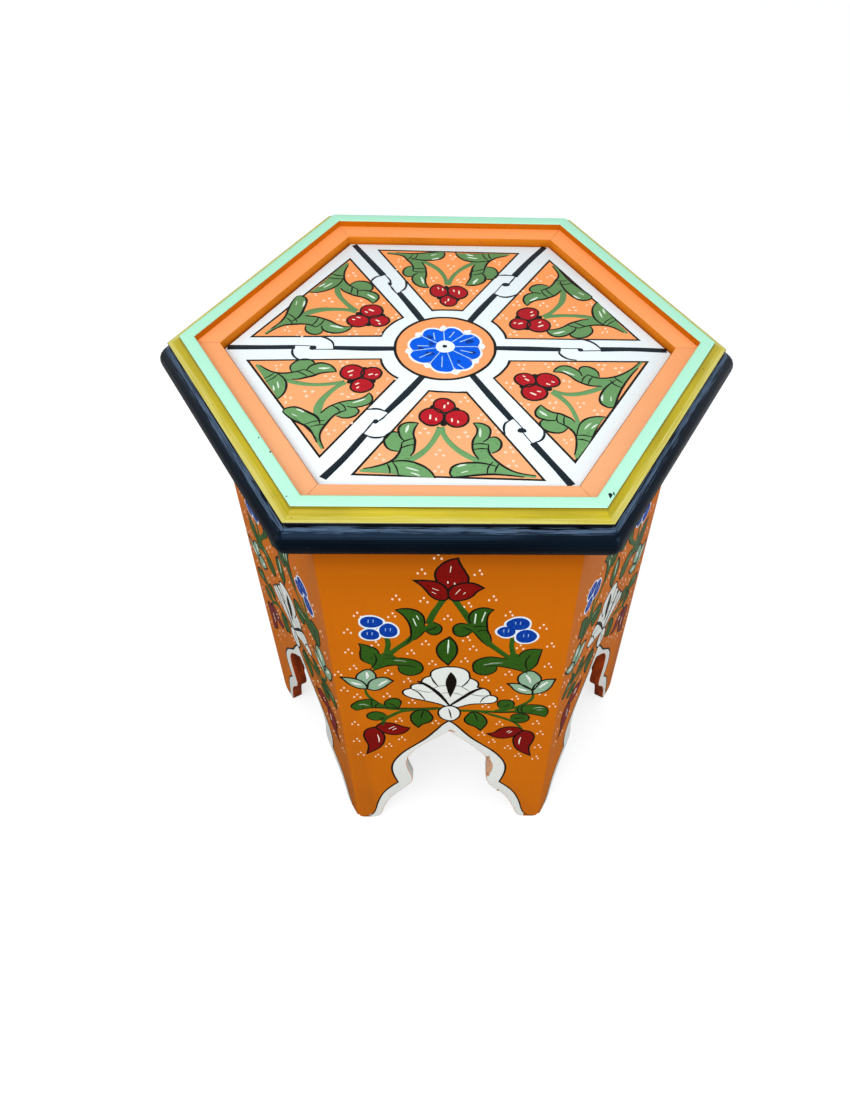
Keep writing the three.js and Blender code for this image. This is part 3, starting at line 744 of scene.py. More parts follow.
# Each row is a paint, a coat, a width and the ways of open brush lines
SIDE_STROKES = (
    ("side_green", 1, 5.4, ((-4, 348), (-7, 340.7), (-11, 331.5), (-15, 319)),
     ((3.3, 348), (7.2, 339.3), (12, 329.3), (16.6, 317)),
     ((-25, 306), (-30, 297.9), (-37.9, 289.3), (-46.5, 279)),
     ((24, 303), (29.3, 295), (36.4, 286.4), (47, 274))),
    ("side_green", 1, 4.4, ((-45.7, 303), (-44.9, 295), (-46, 287), (-49, 276)),
     ((46.9, 302), (46.3, 292.1), (47.6, 284), (50, 272))),
    ("side_green", 1, 3.2, ((-66.2, 235), (-65, 225), (-61, 217), (-55, 209)),
     ((67.7, 227), (66.2, 217.1), (60.5, 210), (52, 204))),
    ("side_green", 1, 3.8, ((-7, 204), (-17.9, 202.6), (-30.7, 201.6), (-41, 203), (-55, 206))),
    ("side_green", 1, 4.2, ((-29, 202), (-39.3, 199), (-46.4, 193.6), (-52.6, 187.4), (-56, 178))),
    ("side_green", 1, 3.8, ((8, 200.4), (19.3, 200), (33.6, 198.8), (47.9, 198.4), (60, 199.6))),
    ("side_green", 1, 3.4,
     ((22, 200), (30, 196.4), (39.3, 191.6), (49.3, 185.7), (56.4, 179.3), (62.5, 168.5))),
    ("side_green", 1, 4.4, ((38, 199.5), (47, 202.5), (56, 206), (62, 210.5))),
    # Outlines that stay open where a leaf runs into its stem
    ("side_black", 3, 1.7,
     ((-17.9, 316.5), (-17.7, 325), (-20, 331.4), (-25, 335.7), (-32.1, 336.9), (-37.8, 335.5)),
     ((-38, 335.6), (-33.6, 330.7), (-30, 323.6), (-28.1, 316.4), (-27.6, 309.3), (-28.1, 302.1),
      (-31, 296.4))),
    ("side_black", 3, 1.3, ((-17.4, 310.4), (-20.7, 305), (-24.6, 299.7))),
    ("side_black", 3, 1.5, ((-11.2, 321.4), (-6.4, 317.1), (-5.4, 312.1), (-7.9, 307.1),
      (-11.4, 305.7), (-15, 307.9), (-17, 310.7))),
    ("side_black", 3, 1.3, ((-9, 317), (-10, 314.3), (-13, 312.6), (-17, 310.6))),
    ("side_black", 3, 1.7,
     ((15.3, 319), (14.1, 325), (15, 331.4), (19.3, 336.4), (24.3, 338), (31.6, 335.7)),
     ((31.6, 335.9), (28.1, 330.7), (27.1, 325), (27.3, 316.4), (27.9, 310.7), (30.4, 303),
      (31, 297))),
    ("side_black", 3, 1.3, ((17.1, 310), (20, 305), (23.6, 298.6), (28.6, 291.4))),
    ("side_black", 3, 1.5, ((13.1, 319), (7.9, 319.7), (3.6, 316.4), (2.9, 311.4), (4.3, 306.4),
      (8.9, 303.6), (13.1, 305.3), (15.4, 309.4))),
    ("side_black", 3, 1.3, ((10.3, 315.2), (13.6, 312.9), (17.1, 310)),
     ((17.1, 315.4), (20.7, 316.3), (27, 315.7)), ((20, 309.8), (24.3, 311.6), (28.1, 310.7))),
    ("side_black", 3, 1.5, ((-66.6, 295), (-60, 292.1), (-54.3, 287.9), (-51.7, 280.7)),
     ((-66.6, 295), (-65.5, 289), (-66.4, 282.1), (-65.7, 273.6), (-60, 267.9))),
    ("side_black", 3, 1.3, ((-56.1, 282.1), (-54.7, 275), (-56.4, 267.9), (-60.4, 261))),
    ("side_black", 3, 1.5, ((69.6, 287.4), (61.4, 287.6), (55, 284.3), (52.1, 277.9)),
     ((69.6, 287.4), (68.1, 276.4), (66.4, 266.4), (62.3, 259.6))),
    ("side_black", 3, 1.3, ((61.4, 280), (58.6, 273.6), (58.6, 266.4), (61, 258))),
    ("side_black", 4, 1.5, ((-48.6, 275.9), (-39.3, 276.3), (-30.7, 275), (-23.6, 271.4),
      (-20.3, 265.7), (-20.4, 259.3), (-23.6, 255), (-30, 252.6), (-35.7, 255), (-38.3, 259.3),
      (-38.9, 265.7))),
    ("side_black", 4, 1.4,
     ((-58.8, 258.4), (-52.1, 262.9), (-45, 266.1), (-37.9, 266.7), (-30.7, 265.7), (-25, 262.9))),
    ("side_black", 4, 1.5, ((44.3, 274.9), (37.9, 276.4), (30.7, 277.6), (23.6, 275), (18.9, 270),
      (18.3, 263.6), (20, 257.1), (26.4, 253.1), (32.1, 254.7), (36, 259.3), (36.7, 264.7))),
    ("side_black", 4, 1.4,
     ((60.9, 255.5), (50.7, 260.9), (42.1, 264), (33.6, 265.7), (27, 265.2))),
    ("side_black", 3, 1.4, ((-50.4, 206.6), (-52.1, 211), (-49.3, 217.1), (-42.9, 219.3),
      (-38.9, 215.7), (-39.3, 209.3), (-42.1, 202.3))),
    ("side_black", 3, 1.2, ((-49.3, 212.1), (-45.7, 210), (-42.9, 205.7), (-41.8, 202))),
    ("side_black", 3, 1.4,
     ((-56.4, 212.9), (-61, 217.1), (-70, 216.9), (-76.4, 212.1), (-79.2, 207), (-75.3, 200.5)),
     ((-75.5, 200.7), (-66.4, 204.3), (-55, 205.2), (-41, 204.6), (-27.9, 204.3), (-9, 205.4))),
    ("side_black", 3, 1.3, ((-61.9, 216.6), (-62.4, 210.7), (-61.9, 205)),
     ((-56.2, 213), (-59.3, 208.3), (-59.5, 204.2))),
    ("side_black", 3, 1.4, ((-54, 187.6), (-59.3, 185.3), (-64.6, 187), (-67.4, 191.4),
      (-65.7, 196.4), (-60, 198.9), (-54.3, 197.1), (-51.5, 193))),
    ("side_black", 3, 1.2, ((-57.5, 190), (-55, 187.2), (-53.8, 190.6))),
    ("side_black", 3, 1.3, ((-20.4, 200.9), (-22.1, 195), (-22.9, 188))),
    ("side_black", 3, 1.4, ((42, 203.4), (39.3, 210.7), (40.7, 215), (45.7, 216.7), (51.4, 214.3),
      (53, 209), (51.6, 205.4))),
    ("side_black", 3, 1.2, ((44.6, 205.4), (47.9, 208.6), (49, 211.4))),
    ("side_black", 3, 1.4, ((56.6, 206.2), (63, 209), (70.7, 209.2), (77.1, 207.1), (80.8, 202.1),
      (81.2, 195), (79.6, 189.8)),
     ((79.8, 190), (73.6, 192.9), (66.4, 195.3), (56, 197.4), (43, 197.2), (30, 197.8))),
    ("side_black", 3, 1.3, ((57.1, 206.4), (56.2, 202.1), (57.1, 197.6)),
     ((60.4, 208), (59.2, 202.6), (60.4, 197))),
    ("side_black", 3, 1.4, ((50.7, 190), (53.6, 194.3), (59.3, 195.3), (65, 192.9), (66.7, 188.6),
      (64.3, 182.9), (58.6, 181), (52.9, 183.4))),
    ("side_black", 3, 1.2, ((54.2, 188.8), (57, 187.4), (59, 189), (62.2, 188.2))),
    ("side_black", 3, 1.3, ((19.6, 199), (22.1, 192.1), (24, 183))),
    # Palmette, its scalloped edge and its folds
    ("side_black", 5, 3.5,
     ((-24.6, 244.3), (-19.6, 240.7), (-14.1, 234.7), (-8.9, 227.3), (-4.3, 218.6), (0.2, 208.6)),
     ((27.6, 234.2), (22.8, 232.4), (17.6, 227.9), (11.1, 220.5), (5.1, 213.5), (0.9, 208.6))),
    ("side_black", 3, 1.7, ((-14.2, 252), (-12, 244.3), (-8.3, 236.7)),
     ((16.3, 248.4), (13.4, 241.3), (9.8, 236.1))),
    ("side_black", 3, 1.5, ((-30, 233.4), (-24.7, 228.6), (-21.6, 222.4), (-19.1, 217)),
     ((32.6, 223.9), (27.9, 219.8), (25.2, 213))),
    ("fold_grey", 3, 0.9, ((-12.1, 234.1), (-8.1, 237.1), (-2.9, 238.3), (2.3, 238.5),
      (6.9, 237.7), (9.6, 236.5), (13.6, 232.8), (17, 228.5)),
     ((-6.2, 226.7), (-1.6, 227.6), (4, 227.1), (7, 226.1), (11.1, 223.6)),
     ((-29.9, 233.5), (-23.4, 231), (-16.8, 228.6), (-12.2, 229.2)),
     ((16.3, 226), (20.4, 224.2), (25.1, 222.9), (30.4, 223.3), (33, 224.6))),
    ("side_black", 6, 1.4, ((-0.3, 203.2), (1, 196.4), (2, 188.4))),
    # Lights
    ("cream", 6, 1.2, ((1.1, 383), (0.6, 376.6))),
    ("cream", 6, 1.9, ((-1, 367.3), (-1, 365.1)), ((3.6, 365.8), (3.6, 363.8))),
    ("cream", 6, 0.9, ((-11.6, 359.8), (-7.1, 357.2)), ((-12, 355.8), (-9.1, 353.8))),
    ("cream", 6, 1.0, ((7.5, 358.8), (4.2, 353.2)), ((11.2, 355.5), (9.6, 353.3))),
    ("light_green", 5, 1.7, ((-23.1, 329), (-21.6, 324.2)), ((-25.6, 325.4), (-23.6, 316.6))),
    ("light_green", 5, 2.2, ((18.9, 331.2), (18.2, 319.6))),
    ("light_green", 5, 1.8, ((25.6, 333.4), (23.1, 321.4))),
    ("light_green", 5, 1.5, ((-0.4, 299.4), (-0.6, 291), (-1.1, 282))),
    ("dull_light", 5, 2.0, ((-41.6, 273), (-37, 272.7), (-32.4, 271.2))),
    ("dull_light", 5, 2.2, ((26.2, 266.8), (33, 268.9), (41, 269.6))),
    ("dull_light", 5, 2.0, ((-73, 209.6), (-69, 210.4), (-65, 208.6))),
    ("dull_light", 5, 1.4, ((69, 203.6), (73, 205), (78, 205))),
    ("dull_light", 5, 1.2, ((71.6, 200.8), (75, 201.6), (77.6, 201.2))),
    ("palmette", 6, 2.6, ((-63.4, 257), (-63, 252), (-63.8, 247.4))),
    ("palmette", 6, 2.8, ((-76.2, 243), (-72.4, 240.4), (-68.2, 239)),
     ((-48, 245.2), (-51.6, 242), (-55.4, 237.4))),
    ("palmette", 6, 2.6, ((59.8, 252.6), (62.4, 247.6), (64, 241.6)),
     ((54.6, 234), (58.2, 231.6), (61.8, 230.6))),
    ("palmette", 6, 2.8, ((77.4, 243), (74.2, 239), (71.2, 234.4))),
    ("cream", 6, 1.3, ((61.6, 156.6), (60.7, 150), (60.9, 144.2))),
    ("cream", 6, 1.2, ((53.6, 167), (50.6, 163.6)), ((51.6, 168.4), (48.8, 165.4)),
     ((-45.6, 175.6), (-50.4, 171.6)), ((-44, 172.6), (-47.6, 169.4))),
    ("cream", 6, 1.3, ((-60.6, 162), (-59.8, 155), (-60, 149))),
)

# Berries: middle, half width, half height
SIDE_BERRIES = (
    (-55.6, 321.1, 8.2, 6.6), (-43.9, 311, 6.6, 8.4), (-57.3, 306.1, 6.7, 6.6),
    (49.7, 319, 8.5, 7.2), (41.6, 309.6, 6.7, 6.4), (56.4, 303.9, 7.7, 8.1),
)

# How far a berry's pale rim stands out, and how wide its lights are
BERRY_HALO, BERRY_LIGHT = 1.5, 1.2

# Middles of the dots in threes, and half the width and height of a dot
SIDE_DOT = (0.8, 1.25)
SIDE_THREES = (
    (-18.5, 376.7), (19.5, 375.8), (-36.7, 348.7), (-17.4, 346.2), (30.2, 348.1),
    (13, 340.6), (-0.9, 325.9), (-64.6, 329.3), (-40.6, 328.8), (42.6, 330.6),
    (68.2, 315.3), (-73.4, 309.5), (12.8, 300.2), (-17.3, 295.2), (18.1, 288.5),
    (75.5, 292.5), (-54.4, 294.1), (53, 290), (-74.6, 284.3), (-28.5, 283.4), (11.7, 273),
    (-12.5, 269.2), (75.9, 265.7), (-73, 263), (46.2, 254.9), (-46.4, 256.7),
    (-85.3, 254.7), (-32.4, 245.3), (28.5, 246.9), (-82.4, 232.2), (-49.5, 223.6),
    (40.5, 232.6), (75, 226), (-73, 222.5), (53.4, 219.4), (-29.7, 213.9), (30, 207.5),
    (84.6, 208), (-41.4, 185.3), (-11, 181.5), (42.6, 179.7), (73.2, 180.6),
    (27.9, 161.8), (78, 163.5), (-40, 154.5), (37.2, 149.6), (77.7, 140), (51.5, 138.7),
    (61.4, 124.5), (77.1, 119.6), (-7.4, 392), (-78, 180), (-79, 152), (-52, 143),
    (-77, 128), (-62, 124),
)

# The black line round the arch, from its apex to the right foot, its width, and how many of its
# points the white band follows
ARCH_LINE = (
    (0, 184.4, TIP), (4.4, 179.4), (10.7, 169.3), (19.3, 155.7), (29.3, 143.6),
    (37.9, 133.6), (44.3, 123.6), (49.3, 112.1), (51.2, 101), (50, 87.9), (46.8, 74.2, TIP),
    (54.6, 64.2), (60.7, 54), (65, 42.7), (68.4, 30), (70.8, 17.3), (73.8, 8.4),
    (78.4, 2.6), (83.6, 1.4),
)
ARCH_WIDTH, BAND_FOOT = 2.0, 17

# The outline of the front cartouche on the top, from its inner left corner
CARTOUCHE = (
    (-14, 46, TIP), (-7, 48.2), (0, 48.8), (7, 48.2), (14, 46, TIP), (60.5, 128, TIP),
    (-60.5, 128, TIP),
)
CARTOUCHE_WIDTH = 1.9

# The shapes in it
TOP_PATCHES = (
    ("top_green", 3, (  # left spray
        (-19.4, 79.3, TIP), (-23.3, 78.9), (-28.9, 80), (-32.2, 84.1), (-32, 88.6),
        (-30, 93), (-29.4, 99), (-30.3, 103.6), (-32.2, 109), (-35.6, 114), (-41, 118),
        (-46.7, 120.8), (-56.7, 124.2, TIP), (-56, 126, TIP), (-38, 126.4), (-24, 126.8),
        (-10, 127.6, TIP), (-11.5, 124), (-15, 119.5), (-20, 116), (-25, 114.3),
        (-23.6, 109), (-21.7, 101.3), (-21.3, 95.8), (-22.2, 90.2), (-21.7, 85.8))),
    ("top_green", 2, (  # its lobe
        (-30.6, 89.6), (-35.6, 88), (-39.4, 90.2), (-41.4, 94.7), (-40.6, 100.2),
        (-37.2, 104.7), (-31.4, 106))),
    ("top_green", 3, (  # right spray
        (13.3, 78.6, TIP), (17.8, 78.6), (22.8, 80.8), (25.8, 85.2), (26.1, 89.7),
        (24.6, 94.1), (25, 99.7), (25, 105.8), (26.7, 110.2), (31.1, 115.8),
        (36.7, 120.8), (43.3, 124.1), (54.4, 126.2, TIP), (54, 128, TIP), (46.7, 127.6),
        (36.7, 126.4), (25.6, 125.4), (15.6, 125.9), (7.8, 127), (2.4, 127.8, TIP),
        (0.2, 125.2), (0.6, 121.9), (2.2, 118.4), (7.2, 115.8), (14.4, 115), (18.8, 115.2),
        (17.4, 111), (15, 105.8), (14.2, 100.2), (14.4, 94.7), (15.8, 89.1), (15.6, 83.6))),
    ("top_green", 2, (  # its lobe
        (24, 93.6), (26.9, 92.2), (30, 92.2), (32.8, 94.7), (33.6, 99.1), (31.7, 104.1),
        (27.2, 107.4), (24, 106))),
)

# Cherries: middle, half width, half height; the width of the line round them; the dark shapes
# behind them; the lines over them
TOP_CHERRIES = ((-3.3, 61.3, 7.5, 7.3), (-11.9, 72.5, 8.5, 8.5), (5.2, 74, 8.1, 8.3))
CHERRY_WIDTH = 1.6
CHERRY_GAPS = (
    ((-13.4, 62.8), (-11.2, 60.8), (-8, 63), (-10, 67), (-12.8, 65.6)),
    ((3, 63), (6.4, 63), (7.6, 65.4), (6, 68.4), (2, 67)),
    ((-6, 78), (-3.4, 74), (-0.8, 78), (-2, 80.8), (-4.4, 81.4)),
)
CHERRY_STROKES = (
    ("line_black", 6, 1.4, ((-3.4, 67.6), (-3.7, 72), (-3.4, 77))),
    ("cream", 7, 2.7, ((-2.6, 60.6), (-3.1, 63.9))),
    ("cream", 7, 2.2, ((-0.2, 57.8), (-0.4, 59.8))),
    ("cream", 7, 2.7, ((-13.1, 70.6), (-13.3, 75))),
    ("cream", 7, 2.4, ((-9.2, 73.6), (-8.8, 76.2)), ((1.7, 74.6), (1.9, 77.6))),
    ("cream", 7, 2.3, ((5.7, 76.6), (6.1, 78.8))),
)

TOP_STROKES = (
    ("top_green", 2, 4.2, ((-5.8, 82.4), (-7.6, 89.5), (-12.4, 100), (-19, 108), (-27.5, 115)),
     ((-4.7, 82.4), (-3.4, 89.5), (2, 100), (10, 108), (20.5, 115.4))),
    ("line_black", 4, 1.75, ((-18.8, 79.2), (-23.3, 78.7), (-28.9, 80), (-32.2, 84.1), (-32, 88.6),
      (-30.6, 93), (-28.2, 96.2)),
     ((-19, 79.2), (-21.7, 85.8), (-22.2, 90.2), (-21.3, 95.8), (-21.7, 101.3), (-22.4, 105.8),
      (-24.6, 109.6)),
     ((-29.6, 98), (-30.3, 103.6), (-32.2, 109), (-35.6, 114), (-41, 118), (-46.7, 120.8),
      (-54.4, 123.2))),
    ("line_black", 3, 1.75, ((-31.6, 88.6), (-35.6, 87.9), (-39.4, 90.2), (-41.4, 94.7),
      (-40.6, 100.2), (-37.2, 104.7), (-31.8, 106))),
    ("line_black", 4, 1.4, ((-30, 98), (-26.7, 95.6), (-22, 93.8)),
     ((-30, 102.8), (-26.7, 100.8), (-22, 99.2))),
    ("line_black", 4, 1.75, ((-36.4, 115.8), (-31, 114.3), (-25, 114.4), (-20, 116.2),
      (-15, 119.6), (-11.5, 124), (-9.8, 128))),
    ("line_black", 4, 1.4, ((-39.4, 117.4), (-38, 121), (-37.4, 126.4)),
     ((-35.8, 115.8), (-33.8, 120), (-32.4, 126.6))),
    ("line_black", 4, 1.75, ((13, 78.5), (17.8, 78.6), (22.8, 80.8), (25.8, 85.2), (26.1, 89.7),
      (24.6, 94.1), (21.4, 97)),
     ((13.2, 78.6), (15.6, 83.6), (15.8, 89.1), (14.4, 94.7), (14.2, 100.2), (15, 105.8),
      (18.4, 112.6))),
    ("line_black", 3, 1.75,
     ((26, 92.6), (30, 92.2), (32.8, 94.7), (33.6, 99.1), (31.7, 104.1), (27, 107.6))),
    ("line_black", 4, 1.75, ((25, 99.2), (25, 105.8), (26.7, 110.2), (31.1, 115.8), (36.7, 120.8),
      (43.3, 124.1), (54.4, 126.2))),
    ("line_black", 4, 1.4, ((14.6, 99.1), (20.6, 98.7), (25, 99.7)),
     ((14.9, 103.9), (20.6, 103.3), (24.8, 103.8))),
    ("line_black", 4, 1.75, ((28.9, 118.6), (22.2, 116.3), (14.4, 115), (7.2, 115.8), (2.2, 118.6),
      (0.5, 122.4), (0.5, 125.8), (2.4, 128)),
     ((2.2, 128), (7.8, 127.2), (15.6, 125.9), (25.6, 125.4), (36.7, 126.4), (46.7, 127.6))),
    ("line_black", 4, 1.4, ((27.2, 115.2), (24.4, 119.1), (23.4, 125.4)),
     ((31.7, 115.8), (29.4, 120), (28.2, 124))),
    # Lights
    ("light_green", 5, 2.2, ((-25.4, 81.2), (-26.4, 84.6), (-27.4, 88.4))),
    ("light_green", 5, 1.5, ((-28, 119.6), (-24.4, 120.6), (-20.4, 122)),
     ((-25.2, 124), (-22, 125), (-19.2, 126.2))),
    ("light_green", 5, 2.0, ((17.8, 83.4), (18.2, 87.6), (19, 92.2))),
    ("light_green", 5, 1.8, ((10.8, 116.6), (7.6, 117.2), (4.8, 118.7))),
    ("light_green", 5, 1.5, ((7.4, 123.8), (11.9, 122))),
)

TOP_DOT = (1.15, 1.05)
TOP_THREES = (
    (-13.4, 54.4), (9.3, 55.4), (-26, 70.6), (19.4, 72.6), (-15.4, 87), (8, 90.3),
    (-6.2, 106.7), (-7.3, 121), (38.6, 104.3), (40, 116.4), (-43.8, 112.4), (29.4, 85.6),
)

# Each corner's knotted bar, along it and across it: its inner part, its outer part, the arc to
# the left, the arc to the right, the line from each part to the knot, and the knot. Its lines
# have these coats and widths
KNOT_LINES = ((1, 5.5), (1, 5.5), (2, 1.9), (2, 1.9), (3, 1.6), (3, 1.6))
KNOTS = (
    (((31, 0.4), (58, -0.3), (84, -0.6)), ((109.8, -0.6), (132, -0.5), (155, -0.7)),
     ((83.8, -1.8), (84.8, -6.1), (88, -9.3), (94.6, -12.6)),
     ((110.2, 1), (110.5, 4.6), (108.7, 8.6), (105.1, 11.6), (101, 13.2)),
     ((83.6, 1.2), (94.6, 1.3)), ((97, -0.9), (110, -1.4)),
     ((94.8, 1.6), (98.8, 1.6), (98.7, 0.2), (97.2, -2.8), (95.9, -3.4), (93.8, -1.4))),
    (((31, 4.7), (56, 4.3), (80, 3.9)), ((108.8, 4.6), (130, 5), (157, 3.9)),
     ((79.1, 4), (78.7, -0.3), (80.9, -4.2), (84.8, -7.1), (90.6, -8.3)),
     ((108.9, 5.4), (106.9, 9), (103.7, 12.6), (99.4, 15.1), (95.9, 16.1)),
     ((79.6, 5), (94.6, 5.1)), ((95, 2.4), (109, 3.1)),
     ((92.6, 5), (95.1, 5.3), (96.2, 3.3), (94.8, 1.8), (92.8, 2.4))),
    (((31, 5.1), (56, 5.7), (79.6, 5.5)), ((107.8, 4.5), (132, 4.2), (158, 2.6)),
     ((78.9, 4.1), (78.7, 0.1), (80.5, -3.8), (84.4, -7), (87.6, -8.3)),
     ((108.2, 6.4), (105.5, 11.9), (102.3, 16.2)),
     ((79.4, 6.7), (94.4, 7.2)), ((96.2, 3.2), (102, 3.1), (108.6, 3.4)),
     ((92.8, 7.2), (95.5, 7.2), (97.2, 3.8), (96.6, 2.1), (93.2, 2.8))),
    (((31, 0), (56, -1.4), (82, -2.3)), ((107.6, -2.6), (132, -2.3), (157, -2)),
     ((82.4, -4), (83.4, -7.5), (85.9, -10.7), (90.1, -13.2), (94.4, -14.6)),
     ((108.2, -1.4), (108.6, 2.9), (106.9, 7.1), (104.1, 10.1)),
     ((81.8, -0.2), (88.7, -0.4), (93.6, -1)), ((95.5, -2.7), (98.7, -3.9), (108.4, -4)),
     ((92.8, -1.1), (96.4, -0.6), (97.4, -2.1), (95.5, -3.5), (93.8, -2.6))),
    (((31, -3.1), (56, -2.4), (83.4, -2.8)), ((110.3, -3.2), (132, -2.5), (158, -2)),
     ((82.9, -4), (84.1, -8.9), (86.9, -12.4), (91.6, -15.3), (95.9, -16.4)),
     ((111.6, -1.8), (111.9, 1.1), (110.9, 5.8), (108, 9.7), (105.5, 11.4)),
     ((83, -1), (98.8, -0.7)), ((98.6, -4.6), (111, -5)),
     ((95.7, -1.1), (99.4, -0.5), (99.5, -4), (96, -4.6))),
    (((31, -2.3), (55, -2.4), (78.8, -3.5)), ((104.1, -3.6), (130, -2.9), (152, -4)),
     ((78.5, -4.9), (78.4, -8.4), (79.8, -12), (83.4, -16.4)),
     ((104.8, -2), (104.6, 1.6), (102.3, 5.9), (99.4, 8.4)),
     ((78.4, -2), (85.9, -2.4), (89.4, -3.2)), ((90.9, -5.9), (96.6, -5.4), (105, -5)),
     ((88.6, -3.4), (91.6, -3), (92.4, -4.5), (90.9, -6.3), (88.6, -6.1))),
)

# Corners of each side's cartouche as it was painted: inner left, inner right, outer right and
# outer left, across and out as seen from that side
CARTOUCHE_CORNERS = (
    ((-14.3, 43.9), (11.6, 45.1), (59.7, 130.0), (-61.0, 126.0)),
    ((-11.0, 42.1), (12.1, 41.8), (63.4, 126.0), (-56.9, 127.2)),
    ((-6.6, 43.1), (16.5, 44.9), (62.8, 128.0), (-55.2, 128.1)),
    ((-9.4, 49.1), (13.1, 49.4), (56.3, 130.6), (-55.0, 127.8)),
    ((-17.6, 50.1), (9.9, 52.0), (59.1, 131.0), (-61.3, 126.4)),
    ((-15.6, 47.3), (8.7, 47.1), (53.6, 126.8), (-60.4, 128.9)),
)
# How much of the front cartouche's curved inner end each side has
CARTOUCHE_BOWS = (0.1, 0.5, 0.5, 0.25, 0.9, 0.85)

# Places in the front cartouche: three cherries, the stems' top, the tips and the lobes of the
# upper leaves, and the inner ends and tips of the lower ones. For each side, how far from there
# its flowers were painted
SPRAY_PLACES = (
    (-3.3, 61.3), (-11.9, 72.5), (5.2, 74), (-5.2, 82.4), (-19.4, 79.3), (13.3, 78.6),
    (-36.5, 96.5), (29.5, 99.5), (-12, 126), (0.4, 122.6), (-56.5, 125), (54.3, 127),
)
SPRAY_SHIFTS = (
    ((0.3, -0.6), (1.1, -0.2), (1.0, -1.6), (0.3, -0.5), (-1.2, -0.4), (4.0, -1.5),
     (-0.8, 0.1), (1.4, -2.3), (1.5, 1.5), (0.6, -0.2), (0.2, -0.4), (1.3, -1.7)),
    ((1.1, 3.5), (-0.5, 3.4), (-0.2, 4.2), (1.3, 3.3), (-2.3, 6.8), (3.1, -1.7),
     (-2.2, 5.1), (0.8, -0.9), (-0.9, -0.9), (-0.7, 0.1), (-0.7, 2.1), (3.6, -2.6)),
    ((2.0, 1.4), (2.2, 2.6), (2.1, 0.4), (3.5, 0.6), (1.7, -3.6), (4.0, 1.4),
     (2.1, 0.6), (4.1, -0.5), (4.2, 1.3), (-1.0, 0.9), (6.7, 0.2), (-1.8, -0.9)),
    ((1.9, -2.2), (3.0, -2.6), (1.6, -2.3), (4.8, -2.5), (2.8, 1.6), (2.7, -2.7),
     (-2.0, 1.2), (4.5, -1.7), (4.0, -1.7), (2.7, -0.8), (3.4, 0.7), (-1.4, -2.9)),
    ((1.8, -2.6), (3.3, -0.9), (0.1, -1.7), (1.7, -1.7), (0.6, -3.0), (1.3, -6.8),
     (1.8, 0.2), (2.9, -4.2), (4.2, -1.3), (0.6, 4.6), (1.8, 0.8), (-1.5, -4.8)),
    ((2.4, -1.8), (1.7, -1.8), (2.4, -2.6), (3.2, -2.5), (2.9, 0.7), (4.8, -7.5),
     (-0.2, 0.8), (1.6, -6.2), (0.8, 0.3), (3.6, 3.4), (3.4, -0.4), (0.3, -3.9)),
)

# Which of those places the cherries and the leaves go by, how far a place's shift spreads, and
# the power of the distance by which it falls off
CHERRY_PLACES, LEAF_PLACES = slice(0, 4), slice(3, None)
SHIFT_SPREAD, SHIFT_FALL = 60, -2

# The roundel: its middle and radius, and the middle of its flower. A blue star fills the flower
# behind the petals, to its waist between them. Each petal has the angle of the line on its left,
# how far out that line and its spur reach, the petal's edge from there to the next line, and
# its light
ROUNDEL = (-3.4, 4.6, 36)
ROSETTE = (-3.5, 5.5)
STAR_TURN, STAR_WAIST = 22, 12
NOTCH_TURN, PETAL_FOOT = 8, 6.2
DISC_WIDTH, PETAL_WIDTH, PETAL_LIGHT = 2.2, 1.9, 1.5
PETALS = (
    (93, 19.3, 25.6,
     ((-4.1, 26.1), (-2, 27.8), (1.8, 28.6), (5.5, 27.3), (8.4, 24.4), (10.1, 21.4)),
     ((-0.3, 16.1), (3.4, 23.2))),
    (46.5, 20.9, 27.8,
     ((11.3, 21.1), (14.7, 21.5), (18, 19.8), (20.9, 16.9), (22.6, 12.8), (22, 9), (20.9, 6.9)),
     ((7.2, 11.1), (18.4, 17.8))),
    (1.4, 24.8, 29.2,
     ((20.9, 4.8), (22.3, 1.5), (22.6, -2.7), (21.2, -6.4), (18.4, -8.7), (16.8, -9)),
     ((7.6, 1.5), (16.3, -1.4))),
    (-37, 25.3, 30,
     ((15.9, -11), (16.6, -13.5), (15.5, -17.3), (12.2, -20.2), (8, -21.2), (4.3, -20.8)),
     ((5.5, -14.3), (10.1, -19.3))),
    (-75.4, 27.4, 33,
     ((3, -22.3), (-0.3, -23.7), (-4.5, -23.9), (-9.5, -22.3), (-12.8, -18.5), (-13.8, -15.6)),
     ((-5.3, -5.6), (-5.6, -18.1))),
    (-118.5, 23, 28,
     ((-15.5, -13.5), (-19.1, -13.9), (-24.1, -11.8), (-27.8, -7.3), (-28.7, -3.5), (-27.2, -1)),
     ((-21.6, -7.7), (-13.3, -1.8))),
    (-167, 24.5, 29.4,
     ((-27, 1.1), (-29.1, 4.4), (-29.3, 9.8), (-26.6, 14.4), (-23.3, 16.5), (-21.4, 17)),
     ((-23.3, 6.1), (-14.9, 6.1))),
    (-215.7, 21.8, 26.6,
     ((-20.2, 19), (-19.9, 22.3), (-17, 26.1), (-12.8, 27.1), (-8.7, 26.3), (-6.2, 24.2)),
     ((-11.8, 21.9), (-10.8, 13.6))),
)

# Dark touches on the petals: middle, half width and half height
PETAL_SHADES = (
    (14, 12, 3.2, 2.8), (16.4, -1.2, 2.4, 1.9), (6.4, -11.2, 1.2, 1.6), (-14.6, -3, 3.4, 2.4),
    (-21, 3.4, 2.2, 1.8), (-13.2, 8.4, 2, 2.6), (-14.6, 16.2, 2.2, 2.6), (1, 19.6, 1, 1.4),
)

# Dark marks on the land: middle, half width and half height
LAND_MARKS = (
    (97.6, -153.6, 1.2, 2.1), (99.9, -152.2, 0.5, 1.5), (-111.8, -117.6, 0.5, 0.8),
    (-97.5, -156.2, 0.6, 0.4), (-120.6, -104.6, 0.4, 0.7),
)

